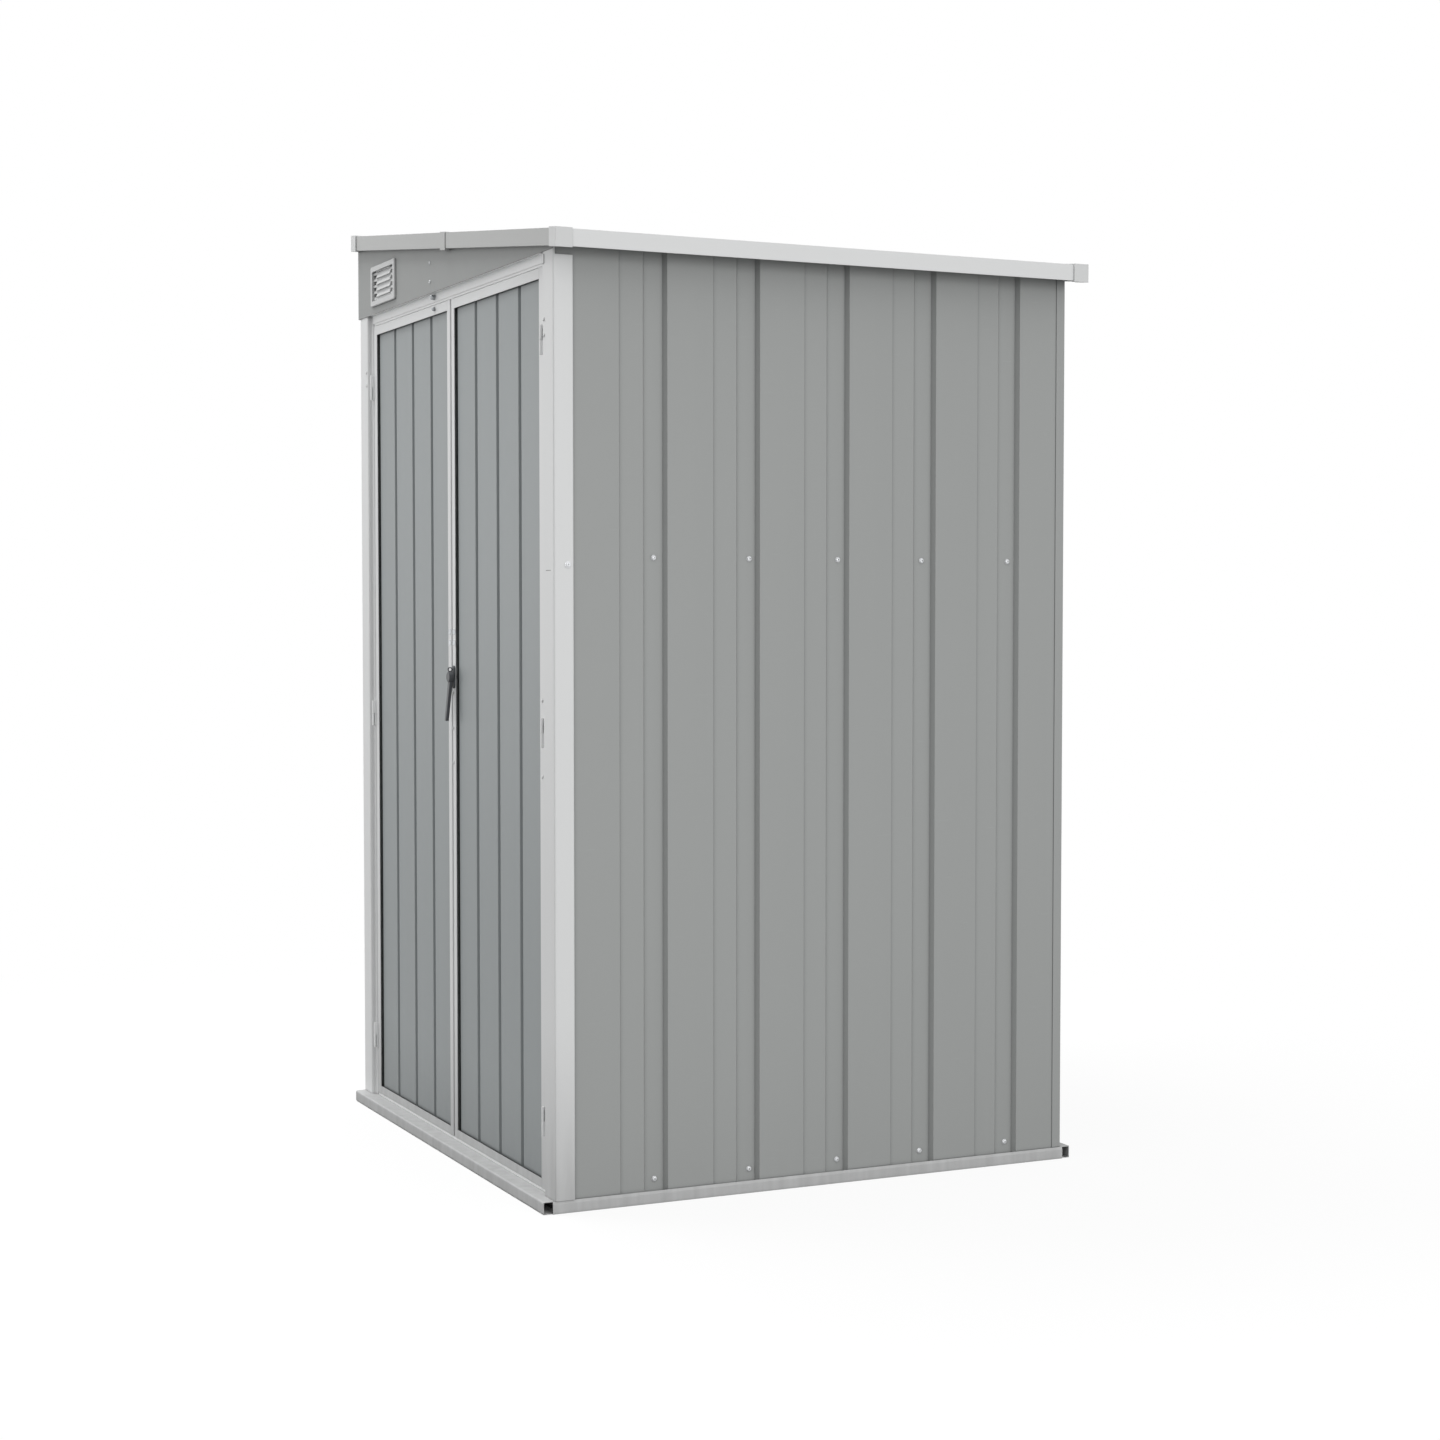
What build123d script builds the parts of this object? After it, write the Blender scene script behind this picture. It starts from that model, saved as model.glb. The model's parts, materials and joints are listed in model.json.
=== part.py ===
"""Lean-to metal tool shed with a double door in its gable end.

Lengths are in millimetres.  +Z is up, the doors face -Y, the low eave is on the +X side and the high side is
on the -X side.  The pieces are drawn about the middle of the shed's body, and written out about the middle of
the roof's plan, at ground level.
"""

from build123d import *
from math import floor, tan, radians
import os

# Body
BODY_WIDTH = 1082.0         # across the outer faces of the corner posts, along X
BODY_DEPTH = 998.0          # from the front face of the posts to the rear wall, along Y
EAVE_TOP = 1630.5           # top edge of the trim at the low eave
ROOF_SLOPE = 7.14           # degrees
EAVE_OVERHANG = 50.0        # corner caps past the posts on the low side
HIGH_OVERHANG = 12.0        # corner caps past the posts on the high side
GABLE_OVERHANG = 15.0       # corner caps past the posts at the front, and past the rear wall

# Sheet metal and the clearances between pieces
FRAME_SHEET = 1.2
PANEL_SHEET = 1.0
TRIM_SHEET = 1.0
SEAM = 0.2                  # between pieces that are fastened together
RUNNING_GAP = 5.5           # around the door leaves
BIG = 3000.0                # a length longer than the shed, for cutting tools

FRAME_BEND = 2.0            # inner radius of the bends in posts and sill
LEAF_BEND = 0.4             # inner radius of the bends in the door leaves' frames and the header
CUT_OVERSHOOT = 1.0         # cutting tools past what they cut

# Base rails
BASE_HEIGHT = 21.5
SILL_REACH = 20.5           # front face of the sill ahead of the posts, and of the rear rail behind the wall
SILL_DEPTH = 36.5
SILL_HEM = 6.0
RAIL_SETBACK = 1.5          # outer face of the side rails inside the posts' outer faces
RAIL_END_REACH = 4.0        # side rails past the posts' front plane and the rear wall
RAIL_LEAN = 1.4             # the lip's top edge leans in towards the wall
RAIL_LEAN_HEIGHT = 5.0
SIDE_UPSTAND = 50.0         # inner flange of the side rails
REAR_UPSTAND = 60.0

# Ribbed wall cladding: one module runs raised, medium, deep, and steps out again
WALL_SETBACK = 5.5          # raised face of the side walls inside the posts' outer faces
THIN_RUN = 2.0
MEDIUM_FLAT = 43.0
BEND_RUN = 4.0
DEEP_FLAT = 34.0
STEP_RUN = 5.0
RAISED_FLAT = 86.0
MEDIUM_DROP = 4.5
DEEP_DROP = 10.0
CREASE_RUN = 35.0
CREASE_DROP = 0.8
WALL_FIRST_FLAT = 84.0      # side wall's first raised strip that shows behind the front post
CORNER_RETURN = 17.0        # rear wall folded round the corner onto the side wall

# Corner posts
POST_FACE = 50.0
JAMB_WIDTH = 11.5           # flange beside the door leaf, set back to the leaf's front face
POST_SIDE = 36.0
POST_RETURN = 30.0
POST_LIP = 8.0
LOW_POST_TOP = 1595.5       # top of the low post's side flange
LOW_POST_FACE_TOP = 1608.0  # top of its front flange
REAR_POST_LEG = 35.0

# Inner rails
MID_RAIL_HEIGHT = 1096.0    # middle of the rail
MID_RAIL_FACE = 40.0
RAIL_FLANGE = 20.0
SIDE_TOP_RAIL_FACE = 35.0
GABLE_TOP_RAIL_FACE = 20.0
TOP_RAIL_HEM = 12.0

# Doorway
HEADER_BOTTOM = 1588.7
HEADER_TOP = 1611.0
STRUT_X = -87.0
STRUT_WIDTH = 40.0

# Front gable panel and its vent
GABLE_PANEL_BOTTOM = 1604.5
GABLE_PANEL_LAP = 8.0       # past the high post's outer face
GABLE_PANEL_RETURN = 14.0
GABLE_PANEL_INSET = 1.0     # short of the low post's outer face
VENT_FROM_SIDE = 165.5      # middle of the vent from the high side's outer face
VENT_Z = 1658.5
VENT_WIDTH = 155.0
VENT_HEIGHT = 79.0
VENT_BORDER = 9.0
VENT_CORNER = 4.5
VENT_RIM = 4.0              # thickness of the rim in front of the panel
VENT_RIM_EDGE = 1.3
VENT_SPIGOT = 5.0           # depth of the louvre box behind the rim
VENT_MARGIN = 1.0           # panel's hole around the louvre box
VENT_WALL = 1.4
LOUVRE_ROWS = 6             # the first and last lie half behind the rim
LOUVRE_PITCH = 12.2
LOUVRE_SLOT_WIDTH = 20.0    # openings at both ends of each row
LOUVRE_SLOT_HEIGHT = 7.0
LOUVRE_REACH = 2.6          # lower edge of the blades in front of the vent's plate
LOUVRE_BLADE_HEIGHT = 8.5
LOUVRE_BLADE_GAP = 3.0      # between the blades and the openings

# Roof
RIB_HEIGHT = 10.0
RIB_TOP = 24.0
RIB_SIDE = 8.0
RIB_COUNT = 3               # between the edge ribs of one sheet
TRIM_FACE = 29.0
TRIM_TOP_LIP = 14.0
TRIM_BOTTOM_LIP = 8.0
CAP_PLAN = 30.0
CAP_SHEET = 2.0
CAP_FOOT = 9.5              # width of the cap's lip under the trims
CAP_RISE = 1.5              # cap above and below the trim
SHEET_END_GAP = 0.3
JOINER_X = 20.0
JOINER_WIDTH = 28.0
JOINER_HANG = 3.5
TRIM_SPLIT = 1.5
PURLIN_FACE = 30.0

# Doors
DOOR_SETBACK = 8.0          # front face of the leaves, jambs and header behind the posts' front face
DOOR_THICKNESS = 20.0
MEETING_GAP = 6.4
DOOR_HEAD_GAP = 5.0
DOOR_FOOT_GAP = 5.0
HINGE_STILE = 19.0
MEETING_STILE = 16.8
DOOR_TOP_RAIL = 18.5
DOOR_BOTTOM_RAIL = 16.0
DOOR_PANEL_SETBACK = 5.0
GROOVE_PITCH = 111.9
GROOVE_WIDTH = 14.0
GROOVE_FLOOR = 8.0
GROOVE_DEPTH = 6.5

# Hinges
HINGE_HEIGHTS = (145.0, 803.0, 1461.0)
HINGE_FORWARD = 5.5         # pin axis ahead of the leaves' front face
HINGE_LENGTH = 50.0
BARREL_RADIUS = 2.3
PIN_RADIUS = 1.2
PIN_CLEARANCE = 0.1
HINGE_SHEET = 1.0
LEAF_DEPTH = 19.5
LEAF_START = 3.0            # from the pin axis to the part of the leaf that clears the barrel
BARREL_GAP = 0.3

# Lever handle on the right leaf
HANDLE_Z = 887.0
PLATE_WIDTH = 16.0
PLATE_HEIGHT = 42.0
PLATE_THICKNESS = 3.0
PLATE_EDGE = 1.0
SPINDLE_RADIUS = 4.0
SPINDLE_CLEARANCE = 0.1
SPINDLE_TAIL = 2.5
HUB_RADIUS = 10.0
HUB_LENGTH = 9.0
HUB_GAP = 0.3
HUB_EDGE = 1.2
LEVER_LENGTH = 81.0
LEVER_ROOT_WIDTH = 12.0
LEVER_TIP_WIDTH = 8.0
LEVER_THICKNESS = 6.0
LEVER_START = 2.7           # lever's front face behind the hub's, at the hub
LEVER_FLARE = 8.0
LEVER_EDGE = 1.2
EYE_RADIUS = 4.5            # small eye on top of the hub
EYE_HOLE_RADIUS = 2.8
EYE_THICKNESS = 1.8
EYE_RISE = 4.0              # middle of the eye above the hub

# Places worked out from the sizes above
SIDE = BODY_WIDTH / 2
FRONT = -BODY_DEPTH / 2
BACK = BODY_DEPTH / 2
ORIGIN_X = (EAVE_OVERHANG - HIGH_OVERHANG) / 2
VENT_X = -SIDE + VENT_FROM_SIDE
SILL_END = SIDE - RAIL_SETBACK - RAIL_LEAN - FRAME_SHEET - 2 * SEAM
SLOPE_RATE = tan(radians(ROOF_SLOPE))
EAVE_X = SIDE + EAVE_OVERHANG
HIGH_X = -SIDE - HIGH_OVERHANG
ROOF_Y = BACK + GABLE_OVERHANG
MODULE = THIN_RUN + MEDIUM_FLAT + BEND_RUN + DEEP_FLAT + STEP_RUN + RAISED_FLAT
WALL_X = SIDE - WALL_SETBACK
WALL_INNER_X = WALL_X - DEEP_DROP - PANEL_SHEET
REAR_INNER_Y = BACK - DEEP_DROP - PANEL_SHEET
FRAME_X = WALL_INNER_X - SEAM
FRAME_Y = REAR_INNER_Y - SEAM
TRIM_INSET = CAP_SHEET + SEAM
ROOF_UNDERSIDE = TRIM_SHEET + SEAM + RIB_HEIGHT + PANEL_SHEET
CEILING = ROOF_UNDERSIDE + SEAM
DOORWAY = SIDE - POST_FACE - JAMB_WIDTH
DOOR_EDGE = DOORWAY - RUNNING_GAP
DOOR_FRONT = FRONT + DOOR_SETBACK
DOOR_BACK = DOOR_FRONT + DOOR_THICKNESS
DOOR_MEET = MEETING_GAP / 2
DOOR_FOOT = BASE_HEIGHT + DOOR_FOOT_GAP
DOOR_HEAD = HEADER_BOTTOM - DOOR_HEAD_GAP
PIN_X = DOORWAY - RUNNING_GAP / 2
PIN_Y = DOOR_FRONT - HINGE_FORWARD
HANDLE_X = DOOR_MEET + MEETING_STILE / 2


def trim_top(x):
    """Height of the trim's top edge at x."""
    return EAVE_TOP + (EAVE_X - x) * SLOPE_RATE


def folded(path, thickness):
    """Closed outline of a sheet folded along a path, with its thickness on the path's left."""
    normals = []
    for (ax, ay), (bx, by) in zip(path, path[1:]):
        length = ((bx - ax) ** 2 + (by - ay) ** 2) ** 0.5
        normals.append(((ay - by) / length, (bx - ax) / length))
    inner = []
    for i, (px, py) in enumerate(path):
        before = normals[max(i - 1, 0)]
        after = normals[min(i, len(normals) - 1)]
        share = thickness / (1 + before[0] * after[0] + before[1] * after[1])
        inner.append((px + (before[0] + after[0]) * share, py + (before[1] + after[1]) * share))
    return list(path) + inner[::-1]


def bend_radii(path, thickness, bend):
    """Radii for the corners of a folded outline: the bend's inside, and its outside a sheet further out."""
    path_side = [0.0]
    other_side = [0.0]
    for (ax, ay), (bx, by), (cx, cy) in zip(path, path[1:], path[2:]):
        turn = (bx - ax) * (cy - by) - (by - ay) * (cx - bx)
        towards_sheet = turn * thickness > 0
        path_side.append(bend + abs(thickness) if towards_sheet else bend)
        other_side.append(bend if towards_sheet else bend + abs(thickness))
    return path_side + [0.0, 0.0] + other_side[:0:-1] + [0.0]


def prism(outline, axis, start, end, radii=None):
    """Extrude a closed outline along an axis; its two numbers are the other two axes, in X, Y, Z order."""
    place = {
        "x": lambda a, b: (start, a, b),
        "y": lambda a, b: (a, start, b),
        "z": lambda a, b: (a, b, start),
    }[axis]
    direction = {"x": (1, 0, 0), "y": (0, 1, 0), "z": (0, 0, 1)}[axis]
    points = [place(a, b) for a, b in outline]
    if radii:
        edge = FilletPolyline(*points, radius=radii, close=True)
    else:
        edge = Polyline(*points, close=True)
    return extrude(make_face(edge), amount=end - start, dir=direction)


def bent_sheet(path, thickness, bend, axis, start, end):
    """Sheet folded along a path with round bends, extruded along an axis."""
    return prism(folded(path, thickness), axis, start, end, bend_radii(path, thickness, bend))


def block(x0, x1, y0, y1, z0, z1):
    """Box between two corners."""
    return Pos((x0 + x1) / 2, (y0 + y1) / 2, (z0 + z1) / 2) * Box(x1 - x0, y1 - y0, z1 - z0)


def rod(radius, axis, centre, start, end):
    """Round bar along an axis; the centre is the other two axes, in X, Y, Z order."""
    length = end - start
    middle = (start + end) / 2
    if axis == "x":
        return Pos(middle, centre[0], centre[1]) * Rot(0, 90, 0) * Cylinder(radius, length)
    if axis == "y":
        return Pos(centre[0], middle, centre[1]) * Rot(90, 0, 0) * Cylinder(radius, length)
    return Pos(centre[0], centre[1], middle) * Cylinder(radius, length)


def roof_slab(x0, x1, y0, y1, top, bottom):
    """Slab with upright sides whose top and bottom lie the given drops under the trim's top edge."""
    outline = [
        (x0, trim_top(x0) - bottom),
        (x1, trim_top(x1) - bottom),
        (x1, trim_top(x1) - top),
        (x0, trim_top(x0) - top),
    ]
    return prism(outline, "y", y0, y1)


def below_roof(part):
    """Cut a piece off under the roof sheets."""
    return part - roof_slab(-BIG / 2, BIG / 2, -BIG / 2, BIG / 2, -BIG, CEILING)


def mirrored(part):
    """Copy of a piece on the other side of the shed."""
    return mirror(part, about=Plane.YZ)


# Cladding

def cladding_line(length, lead):
    """Outer line of the cladding as (distance along the wall, offset out of the raised face)."""
    line = [(0.0, 0.0)]
    at = lead
    while at + MODULE <= length + SEAM:
        if at - CREASE_RUN > line[-1][0]:
            line.append((at - CREASE_RUN, 0.0))
            line.append((at, -CREASE_DROP))
        else:
            line.append((at, 0.0))
        at += THIN_RUN
        line.append((at, -MEDIUM_DROP))
        at += MEDIUM_FLAT
        line.append((at, -MEDIUM_DROP))
        at += BEND_RUN
        line.append((at, -DEEP_DROP))
        at += DEEP_FLAT
        line.append((at, -DEEP_DROP))
        at += STEP_RUN
        line.append((at, 0.0))
        at += RAISED_FLAT
    line.append((length, 0.0))
    return line


def side_wall(side):
    """Side wall, from behind the front post to the rear corner, cut off under the roof."""
    start = FRONT + FRAME_SHEET + SEAM
    end = BACK - PANEL_SHEET - SEAM
    lead = FRONT + POST_SIDE + WALL_FIRST_FLAT - start
    line = cladding_line(end - start, lead)
    path = [(side * (WALL_X + out), start + along) for along, out in line]
    wall = below_roof(prism(folded(path, side * PANEL_SHEET), "z", FRAME_SHEET + SEAM, BIG))
    sill_back = FRONT - SILL_REACH + SILL_DEPTH + SEAM
    return wall - block(-BIG / 2, BIG / 2, FRONT, sill_back, 0, BASE_HEIGHT + SEAM)


def rear_wall():
    """Rear wall, folded round both rear corners over the side walls."""
    corner = WALL_X + SEAM + PANEL_SHEET
    width = 2 * corner
    lead = width - floor(width / MODULE) * MODULE
    line = cladding_line(width, lead)
    path = [(corner, BACK - CORNER_RETURN)]
    path += [(corner - along, BACK + out) for along, out in line]
    path += [(-corner, BACK - CORNER_RETURN)]
    return below_roof(prism(folded(path, PANEL_SHEET), "z", BASE_HEIGHT + SEAM, BIG))


# Base

def front_sill():
    """Doorstep channel, open below and at its ends."""
    front = FRONT - SILL_REACH
    back = front + SILL_DEPTH
    path = [
        (back - SILL_HEM, 0),
        (back, 0),
        (back, BASE_HEIGHT),
        (front, BASE_HEIGHT),
        (front, 0),
        (front + SILL_HEM, 0),
    ]
    return bent_sheet(path, FRAME_SHEET, FRAME_BEND, "x", -SILL_END, SILL_END)


def rear_rail():
    """Rear rail: a lip and ledge outside, and an upstand behind the rear wall."""
    outer = BACK + SILL_REACH
    inner = FRAME_Y - FRAME_SHEET
    path = [
        (outer - SILL_HEM, 0),
        (outer, 0),
        (outer, BASE_HEIGHT),
        (FRAME_Y, BASE_HEIGHT),
        (FRAME_Y, REAR_UPSTAND),
    ]
    rail = prism(folded(path, FRAME_SHEET), "x", -SILL_END, SILL_END)
    for side in (-1, 1):
        notch_inner = side * (FRAME_X - FRAME_SHEET - SEAM)
        notch_outer = side * SIDE
        low, high = sorted((notch_inner, notch_outer))
        rail -= block(
            low, high, inner - SEAM, BACK + SEAM, -CUT_OVERSHOOT, REAR_UPSTAND + CUT_OVERSHOOT
        )
    return rail


def side_rail():
    """Right base rail: the wall stands between its lip and its upstand."""
    outer = SIDE - RAIL_SETBACK
    inner = FRAME_X - FRAME_SHEET
    path = [
        (inner, SIDE_UPSTAND),
        (inner, 0),
        (outer, 0),
        (outer, BASE_HEIGHT - RAIL_LEAN_HEIGHT),
        (outer - RAIL_LEAN, BASE_HEIGHT),
    ]
    rail = prism(folded(path, FRAME_SHEET), "y", FRONT - RAIL_END_REACH, BACK + RAIL_END_REACH)
    lip = outer - RAIL_LEAN - FRAME_SHEET - SEAM
    sill_back = FRONT - SILL_REACH + SILL_DEPTH + SEAM
    rail -= block(0, lip, -BIG / 2, sill_back, -CUT_OVERSHOOT, BIG)
    rail -= block(0, lip, FRAME_Y - FRAME_SHEET - SEAM, BIG / 2, -CUT_OVERSHOOT, BIG)
    return rail


# Frame

def front_post(top):
    """Right front corner post: a folded channel open towards the inside, with a jamb beside the door."""
    face_edge = DOORWAY + JAMB_WIDTH
    path = [
        (DOORWAY + POST_LIP, FRONT + POST_RETURN),
        (DOORWAY, FRONT + POST_RETURN),
        (DOORWAY, DOOR_FRONT),
        (face_edge, DOOR_FRONT),
        (face_edge, FRONT),
        (SIDE, FRONT),
        (SIDE, FRONT + POST_SIDE),
        (WALL_X + SEAM, FRONT + POST_SIDE),
    ]
    return bent_sheet(path, FRAME_SHEET, FRAME_BEND, "z", BASE_HEIGHT + SEAM, top)


def low_front_post():
    """Right post; its side flange stops lower than its front one."""
    corner = FRONT + FRAME_SHEET + FRAME_BEND
    post = front_post(LOW_POST_FACE_TOP)
    return post - block(
        WALL_INNER_X, SIDE + CUT_OVERSHOOT, corner, BACK, LOW_POST_TOP, LOW_POST_FACE_TOP + CUT_OVERSHOOT
    )


def high_front_post():
    return below_roof(mirrored(front_post(BIG)))


def rear_post(top):
    """Right rear corner angle, inside the two walls."""
    path = [
        (FRAME_X, FRAME_Y - REAR_POST_LEG),
        (FRAME_X, FRAME_Y),
        (FRAME_X - REAR_POST_LEG, FRAME_Y),
    ]
    return prism(folded(path, FRAME_SHEET), "z", REAR_UPSTAND + SEAM, top)


def mid_rail_section(outer):
    """Channel section for a mid rail, as (inward, up), with its web at the outer face."""
    low = MID_RAIL_HEIGHT - MID_RAIL_FACE / 2
    high = MID_RAIL_HEIGHT + MID_RAIL_FACE / 2
    path = [
        (outer - RAIL_FLANGE, low),
        (outer, low),
        (outer, high),
        (outer - RAIL_FLANGE, high),
    ]
    return folded(path, FRAME_SHEET)


def side_mid_rail():
    """Right mid rail, from the front post to the rear post."""
    return prism(
        mid_rail_section(FRAME_X), "y", FRONT + FRAME_SHEET + SEAM, FRAME_Y - REAR_POST_LEG - SEAM
    )


def rear_mid_rail():
    end = FRAME_X - REAR_POST_LEG - SEAM
    return prism(mid_rail_section(FRAME_Y), "x", -end, end)


def side_top_rail(side):
    """Top rail along a side wall; its top flange lies along the roof's slope."""
    web = side * FRAME_X
    flange = web - side * RAIL_FLANGE
    hem = web - side * TOP_RAIL_HEM
    top = trim_top(web) - CEILING
    path = [
        (hem, top - SIDE_TOP_RAIL_FACE),
        (web, top - SIDE_TOP_RAIL_FACE),
        (web, top),
        (flange, trim_top(flange) - CEILING),
    ]
    outline = folded(path, side * FRAME_SHEET)
    return prism(outline, "y", FRONT + FRAME_SHEET + SEAM, FRAME_Y)


def gable_top_rail(outer, inward, x0, x1):
    """Top rail along a gable, with its web at the outer face."""
    bottom = CEILING + GABLE_TOP_RAIL_FACE
    web = sorted((outer, outer + inward * FRAME_SHEET))
    deep = sorted((outer, outer + inward * RAIL_FLANGE))
    rail = roof_slab(x0, x1, web[0], web[1], CEILING, bottom)
    rail += roof_slab(x0, x1, deep[0], deep[1], CEILING, CEILING + FRAME_SHEET)
    rail += roof_slab(x0, x1, deep[0], deep[1], bottom - FRAME_SHEET, bottom)
    return rail


def door_header():
    """Channel between the posts: its face is level with the leaves and steps forward behind the panel."""
    step = GABLE_PANEL_BOTTOM + SEAM
    path = [
        (FRONT + RAIL_FLANGE, HEADER_TOP),
        (FRONT, HEADER_TOP),
        (FRONT, step),
        (DOOR_FRONT, step),
        (DOOR_FRONT, HEADER_BOTTOM),
        (DOOR_FRONT + RAIL_FLANGE, HEADER_BOTTOM),
    ]
    end = DOORWAY - SEAM
    return bent_sheet(path, FRAME_SHEET, LEAF_BEND, "x", -end, end)


def gable_strut():
    """Short upright channel between the header and the sloping top rail."""
    low = STRUT_X - STRUT_WIDTH / 2
    high = STRUT_X + STRUT_WIDTH / 2
    path = [
        (low, FRONT + RAIL_FLANGE),
        (low, FRONT),
        (high, FRONT),
        (high, FRONT + RAIL_FLANGE),
    ]
    strut = prism(folded(path, FRAME_SHEET), "z", HEADER_TOP + SEAM, BIG)
    cut = CEILING + GABLE_TOP_RAIL_FACE + SEAM
    return strut - roof_slab(-BIG / 2, BIG / 2, -BIG / 2, BIG / 2, -BIG, cut)


def roof_purlin():
    """Channel under the roof sheets, from the front top rail to the rear one."""
    high = STRUT_X - RAIL_FLANGE
    path = [
        (STRUT_X - TOP_RAIL_HEM, trim_top(STRUT_X) - CEILING - PURLIN_FACE),
        (STRUT_X, trim_top(STRUT_X) - CEILING - PURLIN_FACE),
        (STRUT_X, trim_top(STRUT_X) - CEILING),
        (high, trim_top(high) - CEILING),
    ]
    start = FRONT + RAIL_FLANGE + SEAM
    end = FRAME_Y - RAIL_FLANGE - SEAM
    return prism(folded(path, FRAME_SHEET), "y", start, end)


# Gable panel and vent

def gable_panel():
    """Flat sheet over the doorway, folded round the high corner, with the vent's hole."""
    face = FRONT - SEAM - PANEL_SHEET
    left = -SIDE - GABLE_PANEL_LAP
    path = [
        (left, face + GABLE_PANEL_RETURN),
        (left, face),
        (SIDE - GABLE_PANEL_INSET, face),
    ]
    panel = below_roof(prism(folded(path, PANEL_SHEET), "z", GABLE_PANEL_BOTTOM, BIG))
    panel -= roof_slab(-BIG / 2, -SIDE, -BIG / 2, BIG / 2, -BIG, TRIM_FACE + CAP_RISE + 2 * SEAM)
    half_width = VENT_WIDTH / 2 - VENT_BORDER + VENT_MARGIN
    half_height = VENT_HEIGHT / 2 - VENT_BORDER + VENT_MARGIN
    return panel - vent_block(half_width, half_height, face - CUT_OVERSHOOT, FRONT + CUT_OVERSHOOT)


def vent_block(half_width, half_height, y0, y1):
    """Block about the middle of the vent."""
    return block(
        VENT_X - half_width, VENT_X + half_width, y0, y1, VENT_Z - half_height, VENT_Z + half_height
    )


def gable_vent():
    """Louvred vent: a rim in front of the panel, and a plate in a shallow box with rows of hooded louvres."""
    back = FRONT - SEAM - PANEL_SHEET - SEAM
    front = back - VENT_RIM
    tail = back + VENT_SPIGOT
    plate = back + VENT_WALL
    box_width = VENT_WIDTH / 2 - VENT_BORDER
    box_height = VENT_HEIGHT / 2 - VENT_BORDER
    mouth_width = box_width - VENT_WALL
    mouth_height = box_height - VENT_WALL
    vent = vent_block(VENT_WIDTH / 2, VENT_HEIGHT / 2, front, back)
    vent = fillet(vent.edges().filter_by(Axis.Y), VENT_CORNER)
    vent = chamfer(vent.faces().sort_by(Axis.Y)[0].edges(), VENT_RIM_EDGE)
    vent += vent_block(box_width, box_height, back, tail)
    vent -= vent_block(mouth_width, mouth_height, front - CUT_OVERSHOOT, back)
    vent -= vent_block(mouth_width, mouth_height, plate, tail + CUT_OVERSHOOT)
    mouth = vent_block(mouth_width, mouth_height, front, tail)
    blade_end = mouth_width - LOUVRE_SLOT_WIDTH - LOUVRE_BLADE_GAP
    for row in range(LOUVRE_ROWS):
        z = VENT_Z + (row - (LOUVRE_ROWS - 1) / 2) * LOUVRE_PITCH
        low = z - LOUVRE_SLOT_HEIGHT / 2
        high = z + LOUVRE_SLOT_HEIGHT / 2
        for side in (-1, 1):
            ends = sorted((VENT_X + side * mouth_width, VENT_X + side * (mouth_width - LOUVRE_SLOT_WIDTH)))
            vent -= block(ends[0], ends[1], back - CUT_OVERSHOOT, plate + CUT_OVERSHOOT, low, high) & mouth
        blade = [
            (back, z + LOUVRE_BLADE_HEIGHT / 2),
            (back - LOUVRE_REACH, z - LOUVRE_BLADE_HEIGHT / 2),
            (back, z - LOUVRE_BLADE_HEIGHT / 2),
        ]
        vent += prism(blade, "x", VENT_X - blade_end, VENT_X + blade_end) & mouth
    return vent


# Roof

def roof_line(width, first_edge_drop, last_edge_drop):
    """Top line of one ribbed roof sheet as (distance across, drop under the rib tops)."""
    bays = RIB_COUNT + 1
    valley = (width - 2 * RIB_TOP - RIB_COUNT * RIB_TOP - 2 * bays * RIB_SIDE) / bays
    line = [(0.0, first_edge_drop), (RIB_TOP, first_edge_drop)]
    at = RIB_TOP
    for bay in range(bays):
        at += RIB_SIDE
        line.append((at, RIB_HEIGHT))
        at += valley
        line.append((at, RIB_HEIGHT))
        at += RIB_SIDE
        last = bay == bays - 1
        line.append((at, last_edge_drop if last else 0.0))
        at += RIB_TOP
        line.append((at, last_edge_drop if last else 0.0))
    return line


def roof_sheet(y0, y1, first_edge_drop, last_edge_drop):
    """Ribbed sheet between two Y places, with its ribs down the slope."""
    top = TRIM_SHEET + SEAM
    x0 = HIGH_X + TRIM_INSET + TRIM_SHEET + SHEET_END_GAP
    x1 = EAVE_X - TRIM_INSET - TRIM_SHEET - SHEET_END_GAP
    line = roof_line(y1 - y0, first_edge_drop, last_edge_drop)
    path = [(y0 + along, -top - drop) for along, drop in reversed(line)]
    outline = folded(path, PANEL_SHEET)
    foot = make_face(Polyline(*[(x1, y, trim_top(x1) + z) for y, z in outline], close=True))
    run = x1 - x0
    return extrude(foot, amount=(run ** 2 + (run * SLOPE_RATE) ** 2) ** 0.5, dir=(-1, 0, SLOPE_RATE))


def cross_trim(face, inward):
    """Trim along the eave or the high side, folded over the sheets' ends."""
    end = ROOF_Y - TRIM_INSET - TRIM_TOP_LIP - SEAM
    web = sorted((face, face + inward * TRIM_SHEET))
    lip = sorted((face, face + inward * TRIM_TOP_LIP))
    foot = sorted((face, face + inward * TRIM_BOTTOM_LIP))
    trim = roof_slab(web[0], web[1], -end, end, 0, TRIM_FACE)
    trim += roof_slab(lip[0], lip[1], -end, end, 0, TRIM_SHEET)
    trim += roof_slab(foot[0], foot[1], -end, end, TRIM_FACE - TRIM_SHEET, TRIM_FACE)
    return trim


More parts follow.
